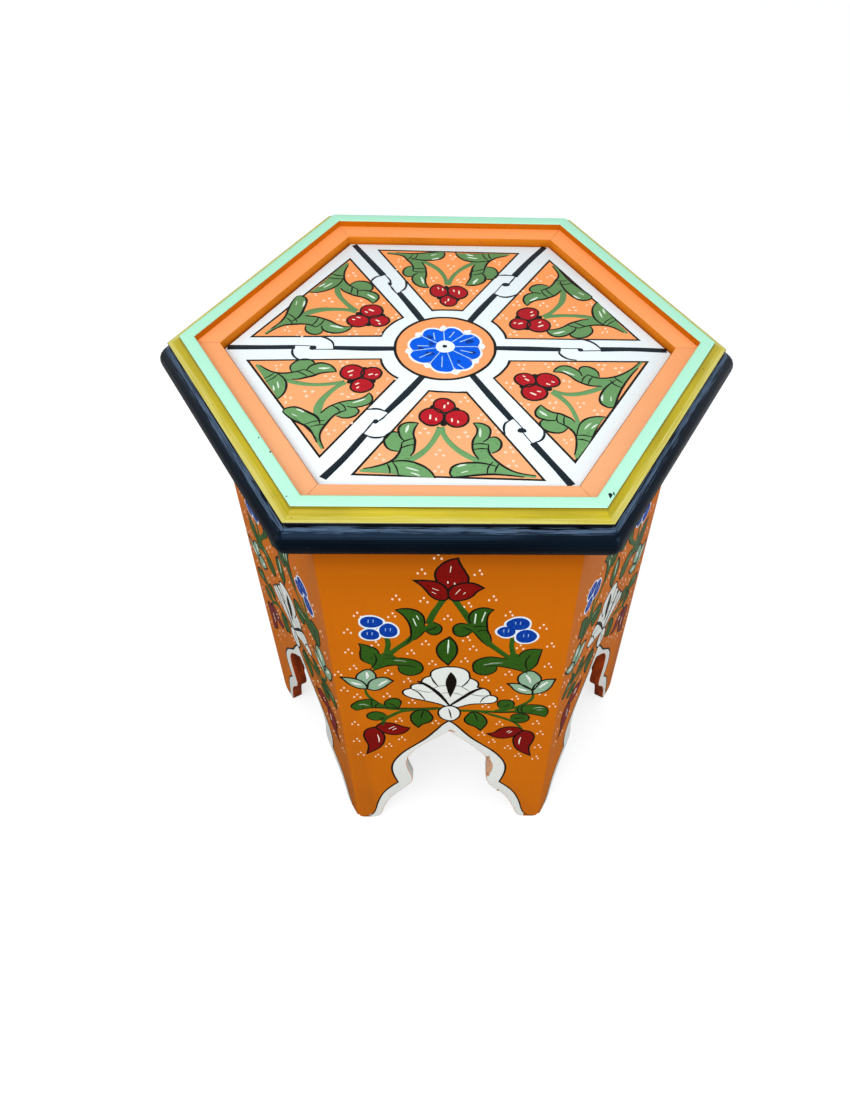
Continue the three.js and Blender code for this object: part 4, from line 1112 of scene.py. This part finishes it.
# Chips in the front board's arch band
BAND_CHIPS = (
    ((34.3, 123.6), (37.1, 116.4), (39.2, 109.3), (39.6, 100.7), (37.9, 92.1), (35.2, 84.9),
     (34.2, 90), (34.3, 101), (34.3, 114)),
    ((-0.6, 168.4), (1.6, 169.6), (3.4, 168), (5, 165.2), (2.6, 166.2)),
    ((45.2, 58.2), (47.6, 57.6), (47, 55.4)),
)

# How far out the line of each mitre of the ledge runs, and its width
MITRE_WAY = (162, 170, 178.6)
MITRE_WIDTH = 0.55

# The floor: its size in metres, its paint, its glow, and how bright gloss sees it at the left, in
# the middle and at the right of a stretch this far each way
FLOOR_SIZE, FLOOR_GREY, FLOOR_GLOW = 14, 0.4, 0.7
FLOOR_SHEEN = (0.33, 0.08, 0.58)
SHEEN_REACH = 0.6

# The sky that the camera sees and the sky that lights the stool
BACKDROP, SKY_LIGHT, SKY_STRENGTH = (1.0, 1.0, 1.0, 1.0), (0.92, 0.97, 1.0, 1.0), 0.7

# Each lamp's name, place, size and power, and what they all face
LAMPS = (
    ("key_lamp", (-0.5, -1.5, 2.1), 1.7, 32.0),
    ("right_lamp", (1.9, -1.4, 0.8), 1.4, 13.0),
    ("left_lamp", (-2.0, -0.9, 0.8), 1.4, 3.7),
)
LAMP_AIM = (0, 0, 0.3)

# The camera, matched to the photograph's frame
CAMERA_PLACE = (-0.00042, -0.54598, 0.84504)
CAMERA_TURN = (37.8687, -1.6335, -1.1181)
CAMERA_LENS, CAMERA_SENSOR = 29.686, 36.0
CAMERA_SHIFT = (-0.04976, 0.04591)


# Painting


SIDE_PLACE = Matrix.Translation((0, -BOARD_APOTHEM, 0)) @ Matrix.Rotation(math.pi / 2, 4, "X")
TOP_PLACE = Matrix.Translation((0, 0, FIELD_TOP))
# How deep paint is rooted in the wood below, and the width in millimetres from which a brush
# line keeps its width to its ends
PAINT_ROOT = 0.1 * MM
BROAD_LINE = 3.5


def line_section():
    """The section of a brush line 1 mm wide: flat, with its foot in the wood below."""
    made = bpy.data.objects.get(PROFILE)
    if made is None:
        corners = tips(((-0.5, -0.3), (0.5, -0.3), (0.44, 0.02), (-0.44, 0.02)))
        made = curve_through(PROFILE, corners, True, 1)
    return made


def coat_height(art, coat):
    """How high a coat stands. Neighbours in one coat differ a hair, so no two faces share a
    plane where they overlap."""
    return (coat + len(art) % 7 / 8) * sizes().coat


def add_patch(art, paint, coat, points, steps=5):
    """Adds a filled shape to a painting."""
    shape = curve_through("patch", points, True, steps)
    height = coat_height(art, coat)
    shape.data.fill_mode = "BOTH"
    shape.data.extrude = (height + PAINT_ROOT) / 2
    shape.location.z = (height - PAINT_ROOT) / 2
    shape.data.materials.append(enamel(paint))
    art.append(shape)


def add_stroke(art, paint, coat, width, points, closed=False):
    """Adds a brush line to a painting. It swells a little and thins out at its ends."""
    shape = curve_through("stroke", points, closed)
    shape.data.bevel_mode = "OBJECT"
    shape.data.bevel_object = line_section()
    shape.data.use_fill_caps = True
    last = len(points) - 1
    for i, knot in enumerate(shape.data.splines[0].bezier_points):
        end = abs(2 * i / last - 1) ** 3
        thin = 0.0 if closed or width > BROAD_LINE else 0.5 * end
        knot.radius = width * (1 - thin) * (1 + 0.1 * math.sin(2.3 * i + points[0][0]))
    shape.scale.z = 1 / width
    shape.location.z = coat_height(art, coat)
    shape.data.materials.append(enamel(paint))
    art.append(shape)


def add_rows(art, patches, strokes, lay=list):
    """Adds a table's filled shapes and then another's brush lines, laid out as a place needs."""
    for paint, coat, points in patches:
        add_patch(art, paint, coat, lay(points))
    for paint, coat, width, *ways in strokes:
        for points in ways:
            add_stroke(art, paint, coat, width, lay(points))


def add_threes(art, coat, middles, half_width, half_height):
    """Adds small dots in threes, one above two."""
    for number, (x, y) in enumerate(middles):
        lean = 0.5 * math.sin(1.7 * number)
        for across, up in ((0.3 + lean, 2.7), (-2.6, -1.3 - lean), (2.3, -1.5 + lean)):
            dot = oval(x + across, y + up, half_width, half_height, 4)
            add_patch(art, "peach", coat, dot, 2)


def oval(x, y, half_width, half_height, count=8, wobble=0.0):
    """Points round an oval, a little uneven as a brush makes it."""
    points = []
    for i in range(count):
        angle = 2 * math.pi * i / count
        swell = 1 + wobble * math.sin(3 * angle + x + y)
        points.append((
            x + half_width * swell * math.cos(angle), y + half_height * swell * math.sin(angle)
        ))
    return points


def outwards(points):
    """Turns points on the top, given across and out, into points across and up the page."""
    return [(point[0], -point[1], *point[2:]) for point in points]


def seal(art, name, place):
    """Makes the shapes of a painting one mesh and puts it where it belongs."""
    pick(*art)
    bpy.ops.object.convert(target="MESH")
    bpy.ops.object.transform_apply(location=True, rotation=True, scale=True)
    bpy.ops.object.join()
    piece = bpy.context.view_layer.objects.active
    piece.name = name
    weld(piece)
    piece.matrix_world = place
    settle(piece)
    return piece


def mount(art, name, place, slot, side=None, nodes=()):
    """Seals a painting that isn't copied, and hands it over."""
    piece = seal(art, name, place)
    lay_brush(piece, side)
    hand_over(piece, slot, *nodes)


def share_between(first, second, share):
    """The point that lies this share of the way from one point to another."""
    return [a + (b - a) * share for a, b in zip(first, second)]


def fit_cartouche(point, side):
    """Carries a point of the front cartouche to where a side has it."""
    x, y = point.x / MM, -point.y / MM
    (inner_x, inner_y, _), (outer_x, outer_y, _) = CARTOUCHE[4], CARTOUCHE[5]
    out = (y - inner_y) / (outer_y - inner_y)
    across = 0.5 + 0.5 * x / (inner_x + (outer_x - inner_x) * out)
    inner_left, inner_right, outer_right, outer_left = CARTOUCHE_CORNERS[side - 1]
    inner = share_between(inner_left, inner_right, across)
    outer = share_between(outer_left, outer_right, across)
    placed_x, placed_y = share_between(inner, outer, out)
    bow = CARTOUCHE[2][1] - inner_y
    if y < inner_y + 1.5 * bow:
        flatter = (1 - CARTOUCHE_BOWS[side - 1]) * bow
        placed_y -= flatter * max(0.0, 1 - (x / inner_x) ** 2)
    return placed_x * MM, -placed_y * MM


def fit_near(point, side, known):
    """Carries a point of the front cartouche's painting to where a side has it, by the shifts
    of some known places, the nearest of which count most."""
    weights = [
        ((point.x / MM - x) ** 2 + (-point.y / MM - y) ** 2 + SHIFT_SPREAD) ** SHIFT_FALL
        for x, y in SPRAY_PLACES[known]
    ]
    shifts = SPRAY_SHIFTS[side - 1][known]
    across, out = (
        sum(w * shift[i] for w, shift in zip(weights, shifts)) / sum(weights) for i in (0, 1)
    )
    placed_x, placed_y = fit_cartouche(point, side)
    return placed_x + across * MM, placed_y - out * MM


def set_on_side(piece, side, degrees, slot, *nodes):
    """Carries a piece made on the front side to another one, smooths it and hands it over."""
    piece.data.transform(turn_to(side))
    if degrees:
        smooth(piece, degrees)
    lay_brush(piece, side)
    hand_over(piece, slot, *nodes)


def copy_round(art, stem, place, slot, fit=None):
    """Copies a painting of the front side to all six, each a little different by hand: one slow
    stray and one quick one, which start elsewhere on each side."""
    master = seal(art, stem, place)
    stray = sizes().waver
    up = 2 if slot == "side_paint" else 1
    for side in SIDES:
        piece = duplicate(master, f"{stem}_{side}")
        for vertex in piece.data.vertices:
            point = vertex.co
            if fit:
                point.x, point.y = fit(point, side)
            if side > 1:
                x, y = point.x, point.z - point.y
                point.x += stray * (
                    math.sin(34 * y + 2.1 * side) + 0.5 * math.sin(88 * y - 41 * x + side)
                )
                point[up] += stray * (
                    math.sin(31 * x + 1.3 * side) + 0.5 * math.sin(79 * x + 37 * y + 2 * side)
                )
        set_on_side(piece, side, None, slot)
    bpy.data.objects.remove(master)


# Operators


class KursiMoulding(bpy.types.Operator):
    """Makes the moulded rim: ledge, land, cove and quirk in one painted ring"""

    bl_idname = "kursi.moulding"
    bl_label = "Moulded rim"

    def execute(self, context):
        foot, low, high = FIELD_BOTTOM / MM, NOSING_TOP / MM, RIM_TOP / MM
        ledge, cove_top, cove_low = high - LEDGE_DROP, high - COVE_DROP, low + COVE_RISE
        cove = [
            (
                COVE_OUT - (COVE_OUT - LAND_OUT) * math.cos(math.radians(a)),
                cove_top - (cove_top - cove_low) * math.sin(math.radians(a)),
            )
            for a in range(80, -1, -10)
        ]
        section = [
            (LEDGE_IN, foot), (RAIL_BACK, foot), (RAIL_BACK, low), (COVE_OUT - QUIRK_DEPTH, low),
            (COVE_OUT - QUIRK_DEPTH, cove_low - QUIRK_DROP), (COVE_OUT, cove_low - ARRIS),
            (COVE_OUT - ARRIS, cove_low), *cove, (LAND_OUT, high - ARRIS),
            (LAND_OUT - ARRIS, high), (LEDGE_OUT + FINE_ARRIS, high),
            (LEDGE_OUT, high - FINE_ARRIS), (LEDGE_OUT, ledge), (LEDGE_IN + ARRIS, ledge),
            (LEDGE_IN, ledge - ARRIS),
        ]
        rim = hexagon_ring("moulded_rim", section, sizes().rim_corner, 2)
        names = ("apricot", "step_orange", "inner_orange", "mint", "olive", "quirk_black")

        def choose(middle, normal):
            # From the outer edge inwards, with a little room for each step's softened edge
            out, up = -middle.y / MM, middle.z / MM
            # The quirk's black is partly dark paint and partly painted shadow in its groove
            if out > COVE_OUT - 0.9 and up < cove_low - 0.1:
                return "quirk_black"
            if out > LAND_OUT - 0.1 and up < cove_top + 0.6:
                return "olive"
            if out > LEDGE_OUT + 0.05:
                return "mint"
            # Faces that look up take apricot; the upright walls take darker oranges as painted
            # shade, the inner one lighter as painted bounce light from the field
            if normal.z > 0.5:
                return "apricot"
            return "step_orange" if out > LEDGE_OUT - 1 else "inner_orange"

        finish_faces(rim, {name: enamel(name) for name in names}, choose)
        smooth(rim, 25)
        lay_brush(rim)
        hand_over(rim, "frame_paint", *[f"frame_rail_{n}" for n in SIDES])
        return {"FINISHED"}


class KursiNosing(bpy.types.Operator):
    """Makes the navy nosing, a band with a full round edge under the rim"""

    bl_idname = "kursi.nosing"
    bl_label = "Nosing"

    def execute(self, context):
        low, high, outer = NOSING_BOTTOM / MM, NOSING_TOP / MM, NOSING_APOTHEM / MM
        radius = (high - low) / 2
        section = [(NOSING_BACK, high), (NOSING_BACK, low)]
        for i in range(NOSING_STEPS + 1):
            angle = math.pi * (i / NOSING_STEPS - 0.5)
            section.append((
                outer - radius + radius * math.cos(angle),
                low + radius + radius * math.sin(angle),
            ))
        band = hexagon_ring("nosing_band", section, sizes().nosing_corner, 4)
        finish_faces(band, {"navy": enamel("navy")}, lambda middle, normal: "navy")
        smooth(band, 40)
        lay_brush(band)
        hand_over(band, "nosing_paint", *[f"nosing_{n}" for n in SIDES])
        return {"FINISHED"}


class KursiBoards(bpy.types.Operator):
    """Makes the six side boards with softened edges, painted outside and stained inside.

    Only the front arch has white paint on its sawn edge as well."""

    bl_idname = "kursi.boards"
    bl_label = "Side boards"

    def execute(self, context):
        stain = timber("stained_board", colours().stain, (4, 8, 120), 0.6, laid=True)
        materials = {"orange": enamel("orange"), "stain": stain}

        def choose(middle, normal):
            if normal.y < -0.55:
                return "orange"
            if normal.y > 0.55 or middle.z > CUT_TOP * MM:
                return "stain"
            return "cut" if abs(middle.x) < ARCH_REACH * MM else "orange"

        for side in SIDES:
            materials["cut"] = enamel("band_white") if side == 1 else stain
            node = f"side_board_{side}"
            board = duplicate(frame["nodes"][node], f"board_{side}")
            board.parent = None
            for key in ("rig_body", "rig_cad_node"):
                del board[key]
            with edit_mode(board):
                bpy.ops.mesh.remove_doubles(threshold=1e-6)
                bpy.ops.mesh.dissolve_limited(angle_limit=math.radians(0.5))
            board.data.transform(turn_to(side).inverted())
            soft = board.modifiers.new("soft", "BEVEL")
            soft.width = sizes().softness
            soft.segments = 2
            soft.limit_method = "ANGLE"
            soft.angle_limit = math.radians(35)
            bpy.ops.object.modifier_apply(modifier=soft.name)
            finish_faces(board, materials, choose)
            set_on_side(board, side, 30, "side_paint", node)
        return {"FINISHED"}


class KursiSeams(bpy.types.Operator):
    """Runs a thin bead of orange paint down each corner, where two boards meet"""

    bl_idname = "kursi.seams"
    bl_label = "Corner seams"

    def execute(self, context):
        reach = BOARD_APOTHEM * CORNER_REACH / MM
        right = [(reach - back, across, TIP) for back, across in SEAM_SIDE]
        left = [(x, -y, TIP) for x, y, _ in reversed(right)]
        section = [*right[1:], (reach - SEAM_NOSE, 0), *left, right[0]]
        foot = SEAM_FOOT * MM
        master = curve_through("corner_seam", section, True, 1)
        master.data.fill_mode = "BOTH"
        master.data.extrude = (BOARD_TOP - foot) / 2
        master.location.z = (BOARD_TOP + foot) / 2
        pick(master)
        bpy.ops.object.convert(target="MESH")
        settle(master)
        weld(master)
        master.data.transform(Matrix.Rotation(-SIDE_TURN, 4, "Z"))
        for side in SIDES:
            seam = duplicate(master, f"corner_seam_{side}")
            seam.data.materials.append(enamel("orange"))
            set_on_side(seam, side, 40, "side_paint")
        bpy.data.objects.remove(master)
        return {"FINISHED"}


class KursiField(bpy.types.Operator):
    """Makes the white panel inside the rim"""

    bl_idname = "kursi.field"
    bl_label = "Field panel"

    def execute(self, context):
        bpy.ops.object.select_all(action="DESELECT")
        bpy.ops.mesh.primitive_cylinder_add(
            vertices=6,
            radius=FIELD_EDGE * MM * CORNER_REACH,
            depth=FIELD_TOP - FIELD_BOTTOM,
            location=(0, 0, (FIELD_TOP + FIELD_BOTTOM) / 2),
            rotation=(0, 0, SIDE_TURN / 2),
        )
        panel = context.view_layer.objects.active
        panel.name = "white_field"
        settle(panel)
        with edit_mode(panel):
            bpy.ops.mesh.bevel(offset=FINE_ARRIS * MM, segments=2, affect="EDGES")
        panel.data.materials.append(enamel("field_white"))
        smooth(panel, 30)
        lay_brush(panel, 1)
        hand_over(panel, "field_paint", "field_panel")
        return {"FINISHED"}


class KursiPins(bpy.types.Operator):
    """Fills and paints over the pins that hold the ledge down"""

    bl_idname = "kursi.pins"
    bl_label = "Filled pins"

    def execute(self, context):
        nodes = [f"frame_pin_{n}" for n in range(1, 13)]
        art = []
        for node in nodes:
            low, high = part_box(node)
            middle = (low + high) / 2 / MM
            dab = oval(middle.x, middle.y, PIN_DAB, PIN_DAB, 8, 0.06)
            add_patch(art, "apricot", 1, dab, 2)
        place = Matrix.Translation((0, 0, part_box(nodes[0])[1].z))
        mount(art, "filled_pins", place, "frame_paint", nodes=nodes)
        return {"FINISHED"}


class KursiSidePainting(bpy.types.Operator):
    """Paints the flowers and leaves of the six side boards"""

    bl_idname = "kursi.side_painting"
    bl_label = "Side paintings"

    def execute(self, context):
        art = []
        outline = sizes().outline / MM
        for paint, coat, points in SIDE_PATCHES:
            add_patch(art, paint, coat, points)
            if paint == "palmette":
                add_stroke(art, "side_black", coat + 1, outline, points, True)
        for paint, coat, points in SIDE_PETALS:
            add_patch(art, paint, coat, points)
            add_stroke(art, "side_black", coat + 1, outline, points, True)
        add_rows(art, (), SIDE_STROKES)
        for x, y, wide, high in SIDE_BERRIES:
            halo = oval(x, y, wide + BERRY_HALO, high + BERRY_HALO, 8, 0.05)
            add_patch(art, "pale_blue", 2, halo)
            add_patch(art, "deep_blue", 3, oval(x, y, wide, high, 8, 0.03))
            for across in (-1.9, 1.6):
                light = ((x + across, y + 2.8), (x + across - 0.3, y - 0.8))
                add_stroke(art, "berry_light", 4, BERRY_LIGHT, light)
        add_threes(art, 1, SIDE_THREES, *SIDE_DOT)
        copy_round(art, "side_painting", SIDE_PLACE, "side_paint")
        return {"FINISHED"}


class KursiArchBands(bpy.types.Operator):
    """Paints the white band and its black line round each arch"""

    bl_idname = "kursi.arch_bands"
    bl_label = "Arch bands"

    def execute(self, context):
        left = [(-point[0], *point[1:]) for point in ARCH_LINE[:0:-1]]
        line = left + list(ARCH_LINE)
        band = left[len(ARCH_LINE) - 1 - BAND_FOOT:] + list(ARCH_LINE[:BAND_FOOT])
        for side in SIDES:
            art = []
            add_patch(art, "band_white", 1, band + tips(reversed(self.opening_edge(side))))
            add_stroke(art, "side_black", 2, ARCH_WIDTH, line)
            place = turn_to(side) @ SIDE_PLACE
            mount(art, f"arch_band_{side}", place, "side_paint", side)
        return {"FINISHED"}

    def opening_edge(self, side):
        """The rim of the opening on the face of a board, in millimetres from left to right."""
        mesh = frame["nodes"][f"side_board_{side}"].data
        back = turn_to(side).inverted()
        found = {}
        for vertex in mesh.vertices:
            x, y, z = (back @ vertex.co) / MM
            if y < -BOARD_APOTHEM / MM + 0.1 and abs(x) < ARCH_REACH and z < ARCH_TOP:
                found[round(x, 2), round(z, 2)] = (x, z)
        right = sorted((p for p in found.values() if p[0] > 0.01), key=lambda p: -p[1])
        left = sorted((p for p in found.values() if p[0] < -0.01), key=lambda p: p[1])
        top = [p for p in found.values() if abs(p[0]) <= 0.01]
        edge = left + top + right
        moved = []
        gap = sizes().softness / MM
        for i, (x, z) in enumerate(edge):
            before, after = edge[max(i - 1, 0)], edge[min(i + 1, len(edge) - 1)]
            along = Vector((after[0] - before[0], after[1] - before[1])).normalized()
            moved.append((x - along.y * gap, max(z + along.x * gap, gap)))
        return moved


class KursiTopPainting(bpy.types.Operator):
    """Paints the six cartouches, the knotted bars and the roundel of the top"""

    bl_idname = "kursi.top_painting"
    bl_label = "Top paintings"

    def execute(self, context):
        self.cartouches()
        self.sprays()
        self.cherries()
        self.knots()
        self.roundel()
        return {"FINISHED"}

    def cartouches(self):
        art = []
        line = outwards(CARTOUCHE)
        add_patch(art, "apricot", 1, line)
        add_stroke(art, "line_black", 2, CARTOUCHE_WIDTH, line, True)
        copy_round(art, "cartouche", TOP_PLACE, "field_paint", fit_cartouche)

    def sprays(self):
        art = []
        add_rows(art, TOP_PATCHES, TOP_STROKES, outwards)
        add_threes(art, 2, outwards(TOP_THREES), *TOP_DOT)
        fit = partial(fit_near, known=LEAF_PLACES)
        copy_round(art, "cherry_spray", TOP_PLACE, "field_paint", fit)

    def cherries(self):
        art = []
        for points in CHERRY_GAPS:
            add_patch(art, "line_black", 3, outwards(points))
        for number, (x, y, wide, high) in enumerate(TOP_CHERRIES):
            rim = outwards(oval(x, y, wide, high, 8, 0.03))
            add_patch(art, "cherry", 4 + number % 2, rim)
            add_stroke(art, "line_black", 5 + number % 2, CHERRY_WIDTH, rim, True)
        add_rows(art, (), CHERRY_STROKES, outwards)
        fit = partial(fit_near, known=CHERRY_PLACES)
        copy_round(art, "cherries", TOP_PLACE, "field_paint", fit)

    def knots(self):
        for corner, (*ways, knot) in enumerate(KNOTS, 1):
            art = []
            for way, (coat, width) in zip(ways, KNOT_LINES):
                add_stroke(art, "top_black", coat, width, way)
            add_patch(art, "top_black", 2, knot)
            place = TOP_PLACE @ Matrix.Rotation(SIDE_TURN * (corner - 2), 4, "Z")
            mount(art, f"knotted_bar_{corner}", place, "field_paint", corner)

    def roundel(self):
        art = []
        x, y, radius = ROUNDEL
        disc = oval(x, y, radius, radius, 16, 0.004)
        add_patch(art, "apricot", 2, disc)
        add_stroke(art, "line_black", 3, DISC_WIDTH, disc, True)
        cx, cy = ROSETTE

        def ray(degrees, reach):
            angle = math.radians(degrees)
            return cx + reach * math.cos(angle), cy + reach * math.sin(angle)

        star = []
        for start, valley, *_ in PETALS:
            star += [ray(start, valley + 1), ray(start - STAR_TURN, STAR_WAIST)]
        add_patch(art, "flower_blue", 2, tips(star), 1)
        for number, (start, valley, spur, edge, light) in enumerate(PETALS):
            end = PETALS[(number + 1) % len(PETALS)][0]
            if end > start:
                end -= 360
            first, *middle, last = edge
            rim = [(*first, TIP), *middle, (*last, TIP)]
            foot = tips((ray(end + 3, PETAL_FOOT), ray(start - 3, PETAL_FOOT)))
            add_patch(art, "flower_blue", 3, rim + foot)
            add_stroke(art, "field_white", 4, PETAL_WIDTH, rim)
            notch = (
                ray(start, valley - 1.4), ray(start - NOTCH_TURN, valley + 2.6),
                ray(start, spur), ray(start + NOTCH_TURN, valley + 2.6),
            )
            add_patch(art, "field_white", 4, tips(notch), 1)
            split = (ray(start, 6), ray(start, valley + 0.6))
            add_stroke(art, "petal_light", 5, PETAL_LIGHT, split)
            add_stroke(art, "petal_light", 6, PETAL_LIGHT, light)
        for shade in PETAL_SHADES:
            add_patch(art, "deep_blue", 4, oval(*shade, 6, 0.2))
        add_patch(art, "field_white", 6, oval(cx + 0.2, cy, 6.8, 6.9, 8, 0.03))
        add_patch(art, "line_black", 7, oval(cx - 0.1, cy + 0.2, 1.7, 1.7, 6, 0.05))
        mount(art, "roundel", TOP_PLACE, "field_paint", 1)


class KursiWear(bpy.types.Operator):
    """Adds the chips in the arch band, the open mitres of the ledge and the spots on the land"""

    bl_idname = "kursi.wear"
    bl_label = "Wear"

    def execute(self, context):
        art = []
        for chip in BAND_CHIPS:
            add_patch(art, "bare_chip", 2, chip)
        mount(art, "band_chips", SIDE_PLACE, "side_paint", 1)

        art = []
        for number in SIDES:
            angle = SIDE_TURN * number
            way = [(reach * math.cos(angle), reach * math.sin(angle)) for reach in MITRE_WAY]
            add_stroke(art, "mitre", 1, MITRE_WIDTH, way)
        place = Matrix.Translation((0, 0, RIM_TOP - LEDGE_DROP * MM))
        mount(art, "ledge_mitres", place, "frame_paint")

        art = []
        for mark in LAND_MARKS:
            add_patch(art, "top_black", 1, oval(*mark, 7, 0.25), 2)
        mount(art, "land_marks", Matrix.Translation((0, 0, RIM_TOP)), "frame_paint")
        return {"FINISHED"}


class KursiTimber(bpy.types.Operator):
    """Stains the blocks, cleats and planks that the CAD gives, and finishes the screws"""

    bl_idname = "kursi.timber"
    bl_label = "Timber and screws"

    def execute(self, context):
        stain = colours().stain
        finishes = {
            "corner_block": timber("stained_block", stain, (4, 4, 90), 0.65),
            "top_plank": timber("stained_plank", stain, (120, 6, 6), 0.65),
            "cleat_screw": screw_steel(),
        }
        for name, node in frame["nodes"].items():
            kind, number = name.rsplit("_", 1)
            if kind == "top_cleat":
                turn = SIDE_TURN * (int(number) - 1)
                finishes[kind] = timber(f"stained_{name}", stain, (90, 5, 5), 0.65, -turn)
            if kind in finishes:
                for holder in node.material_slots:
                    holder.material = finishes[kind]
        return {"FINISHED"}


class KursiStudio(bpy.types.Operator):
    """Sets the pale floor, the soft lamps and the camera"""

    bl_idname = "kursi.studio"
    bl_label = "Studio"

    def execute(self, context):
        bpy.ops.object.select_all(action="DESELECT")
        bpy.ops.mesh.primitive_plane_add(size=FLOOR_SIZE, location=(0, 0, 0))
        floor = context.view_layer.objects.active
        floor.name = "studio_floor"
        floor.data.materials.append(self.floor_finish())
        self.sky(context.scene)
        self.lamps(context.scene)
        self.camera(context.scene)
        context.scene.view_settings.view_transform = "Standard"
        return {"FINISHED"}

    def floor_finish(self):
        """Matt white card that keeps a shadow. Gloss sees it dimmer, mostly in the middle."""
        material, tree = new_material("pale_floor")
        path = add_node(tree, "ShaderNodeLightPath").outputs
        grey = (FLOOR_GREY, FLOOR_GREY, FLOOR_GREY, 1.0)
        matt = add_node(tree, "ShaderNodeBsdfDiffuse", {"Color": grey})
        spot = add_node(tree, "ShaderNodeTexCoord").outputs["Object"]
        across = add_node(tree, "ShaderNodeSeparateXYZ", None, {0: spot}).outputs["X"]
        share = add_node(
            tree, "ShaderNodeMapRange", {"From Min": -SHEEN_REACH, "From Max": SHEEN_REACH},
            {"Value": across},
        ).outputs[0]
        sheen = add_node(tree, "ShaderNodeValToRGB", None, {0: share})
        sheen.color_ramp.elements.new(0.5)
        for stop, level in zip(sheen.color_ramp.elements, FLOOR_SHEEN):
            stop.color = (level, level, level, 1.0)
        dark = add_node(
            tree, "ShaderNodeBsdfDiffuse", None, {"Color": sheen.outputs["Color"]}
        )
        glow = add_node(tree, "ShaderNodeEmission", {"Strength": FLOOR_GLOW})
        seen = add_node(
            tree, "ShaderNodeAddShader", None, {0: matt.outputs[0], 1: glow.outputs[0]}
        )
        unseen = add_node(
            tree, "ShaderNodeMixShader", None,
            {"Fac": path["Is Glossy Ray"], 1: matt.outputs[0], 2: dark.outputs[0]},
        )
        shader = add_node(
            tree, "ShaderNodeMixShader", None,
            {"Fac": path["Is Camera Ray"], 1: unseen.outputs[0], 2: seen.outputs[0]},
        )
        add_node(tree, "ShaderNodeOutputMaterial", None, {"Surface": shader.outputs[0]})
        return material

    def sky(self, scene):
        """White behind the stool, and an even soft light on it."""
        world = bpy.data.worlds.new("studio_world")
        world.use_nodes = True
        scene.world = world
        tree = world.node_tree
        tree.nodes.clear()
        seen = add_node(tree, "ShaderNodeLightPath").outputs["Is Camera Ray"]
        white, soft = (
            add_node(tree, "ShaderNodeBackground", {"Color": colour, "Strength": strength})
            for colour, strength in ((BACKDROP, 1.0), (SKY_LIGHT, SKY_STRENGTH))
        )
        sky = add_node(
            tree, "ShaderNodeMixShader", None,
            {"Fac": seen, 1: soft.outputs[0], 2: white.outputs[0]},
        )
        add_node(tree, "ShaderNodeOutputWorld", None, {"Surface": sky.outputs[0]})

    def lamps(self, scene):
        for name, place, size, power in LAMPS:
            lamp = bpy.data.lights.new(name, "AREA")
            lamp.size = size
            lamp.energy = power
            stand = bpy.data.objects.new(name, lamp)
            stand.location = place
            aim = Vector(LAMP_AIM) - Vector(place)
            stand.rotation_euler = aim.to_track_quat("-Z", "Y").to_euler()
            scene.collection.objects.link(stand)

    def camera(self, scene):
        camera = bpy.data.objects.new("photo_camera", bpy.data.cameras.new("photo_camera"))
        camera.location = CAMERA_PLACE
        camera.rotation_euler = [math.radians(a) for a in CAMERA_TURN]
        camera.data.sensor_width = CAMERA_SENSOR
        camera.data.lens = CAMERA_LENS
        camera.data.shift_x, camera.data.shift_y = CAMERA_SHIFT
        camera.data.clip_start = 0.01
        scene.collection.objects.link(camera)
        scene.camera = camera


class KursiPanel(bpy.types.Panel):
    """Lists the sizes, the colours and the pieces of the stool"""

    bl_idname = "VIEW3D_PT_kursi"
    bl_label = "Kursi stool"
    bl_space_type = "VIEW_3D"
    bl_region_type = "UI"
    bl_category = "Kursi"

    def draw(self, context):
        column = self.layout.column()
        for group in (context.scene.kursi_sizes, context.scene.kursi_colours):
            for key in group.__annotations__:
                column.prop(group, key)
        for operator in OPERATORS:
            column.operator(operator.bl_idname)


OPERATORS = (
    KursiStudio, KursiTimber, KursiMoulding, KursiNosing, KursiBoards, KursiSeams, KursiField,
    KursiPins, KursiArchBands, KursiSidePainting, KursiTopPainting, KursiWear,
)
CLASSES = (KursiSizes, KursiColours, *OPERATORS, KursiPanel)


def register():
    for made in CLASSES:
        bpy.utils.register_class(made)
    bpy.types.Scene.kursi_sizes = PointerProperty(type=KursiSizes)
    bpy.types.Scene.kursi_colours = PointerProperty(type=KursiColours)


def unregister():
    del bpy.types.Scene.kursi_colours
    del bpy.types.Scene.kursi_sizes
    for made in reversed(CLASSES):
        bpy.utils.unregister_class(made)


def main():
    register()
    for operator in OPERATORS:
        group, name = operator.bl_idname.split(".")
        getattr(getattr(bpy.ops, group), name)()
    bpy.data.objects.remove(bpy.data.objects[PROFILE])


if __name__ == "__main__":
    main()
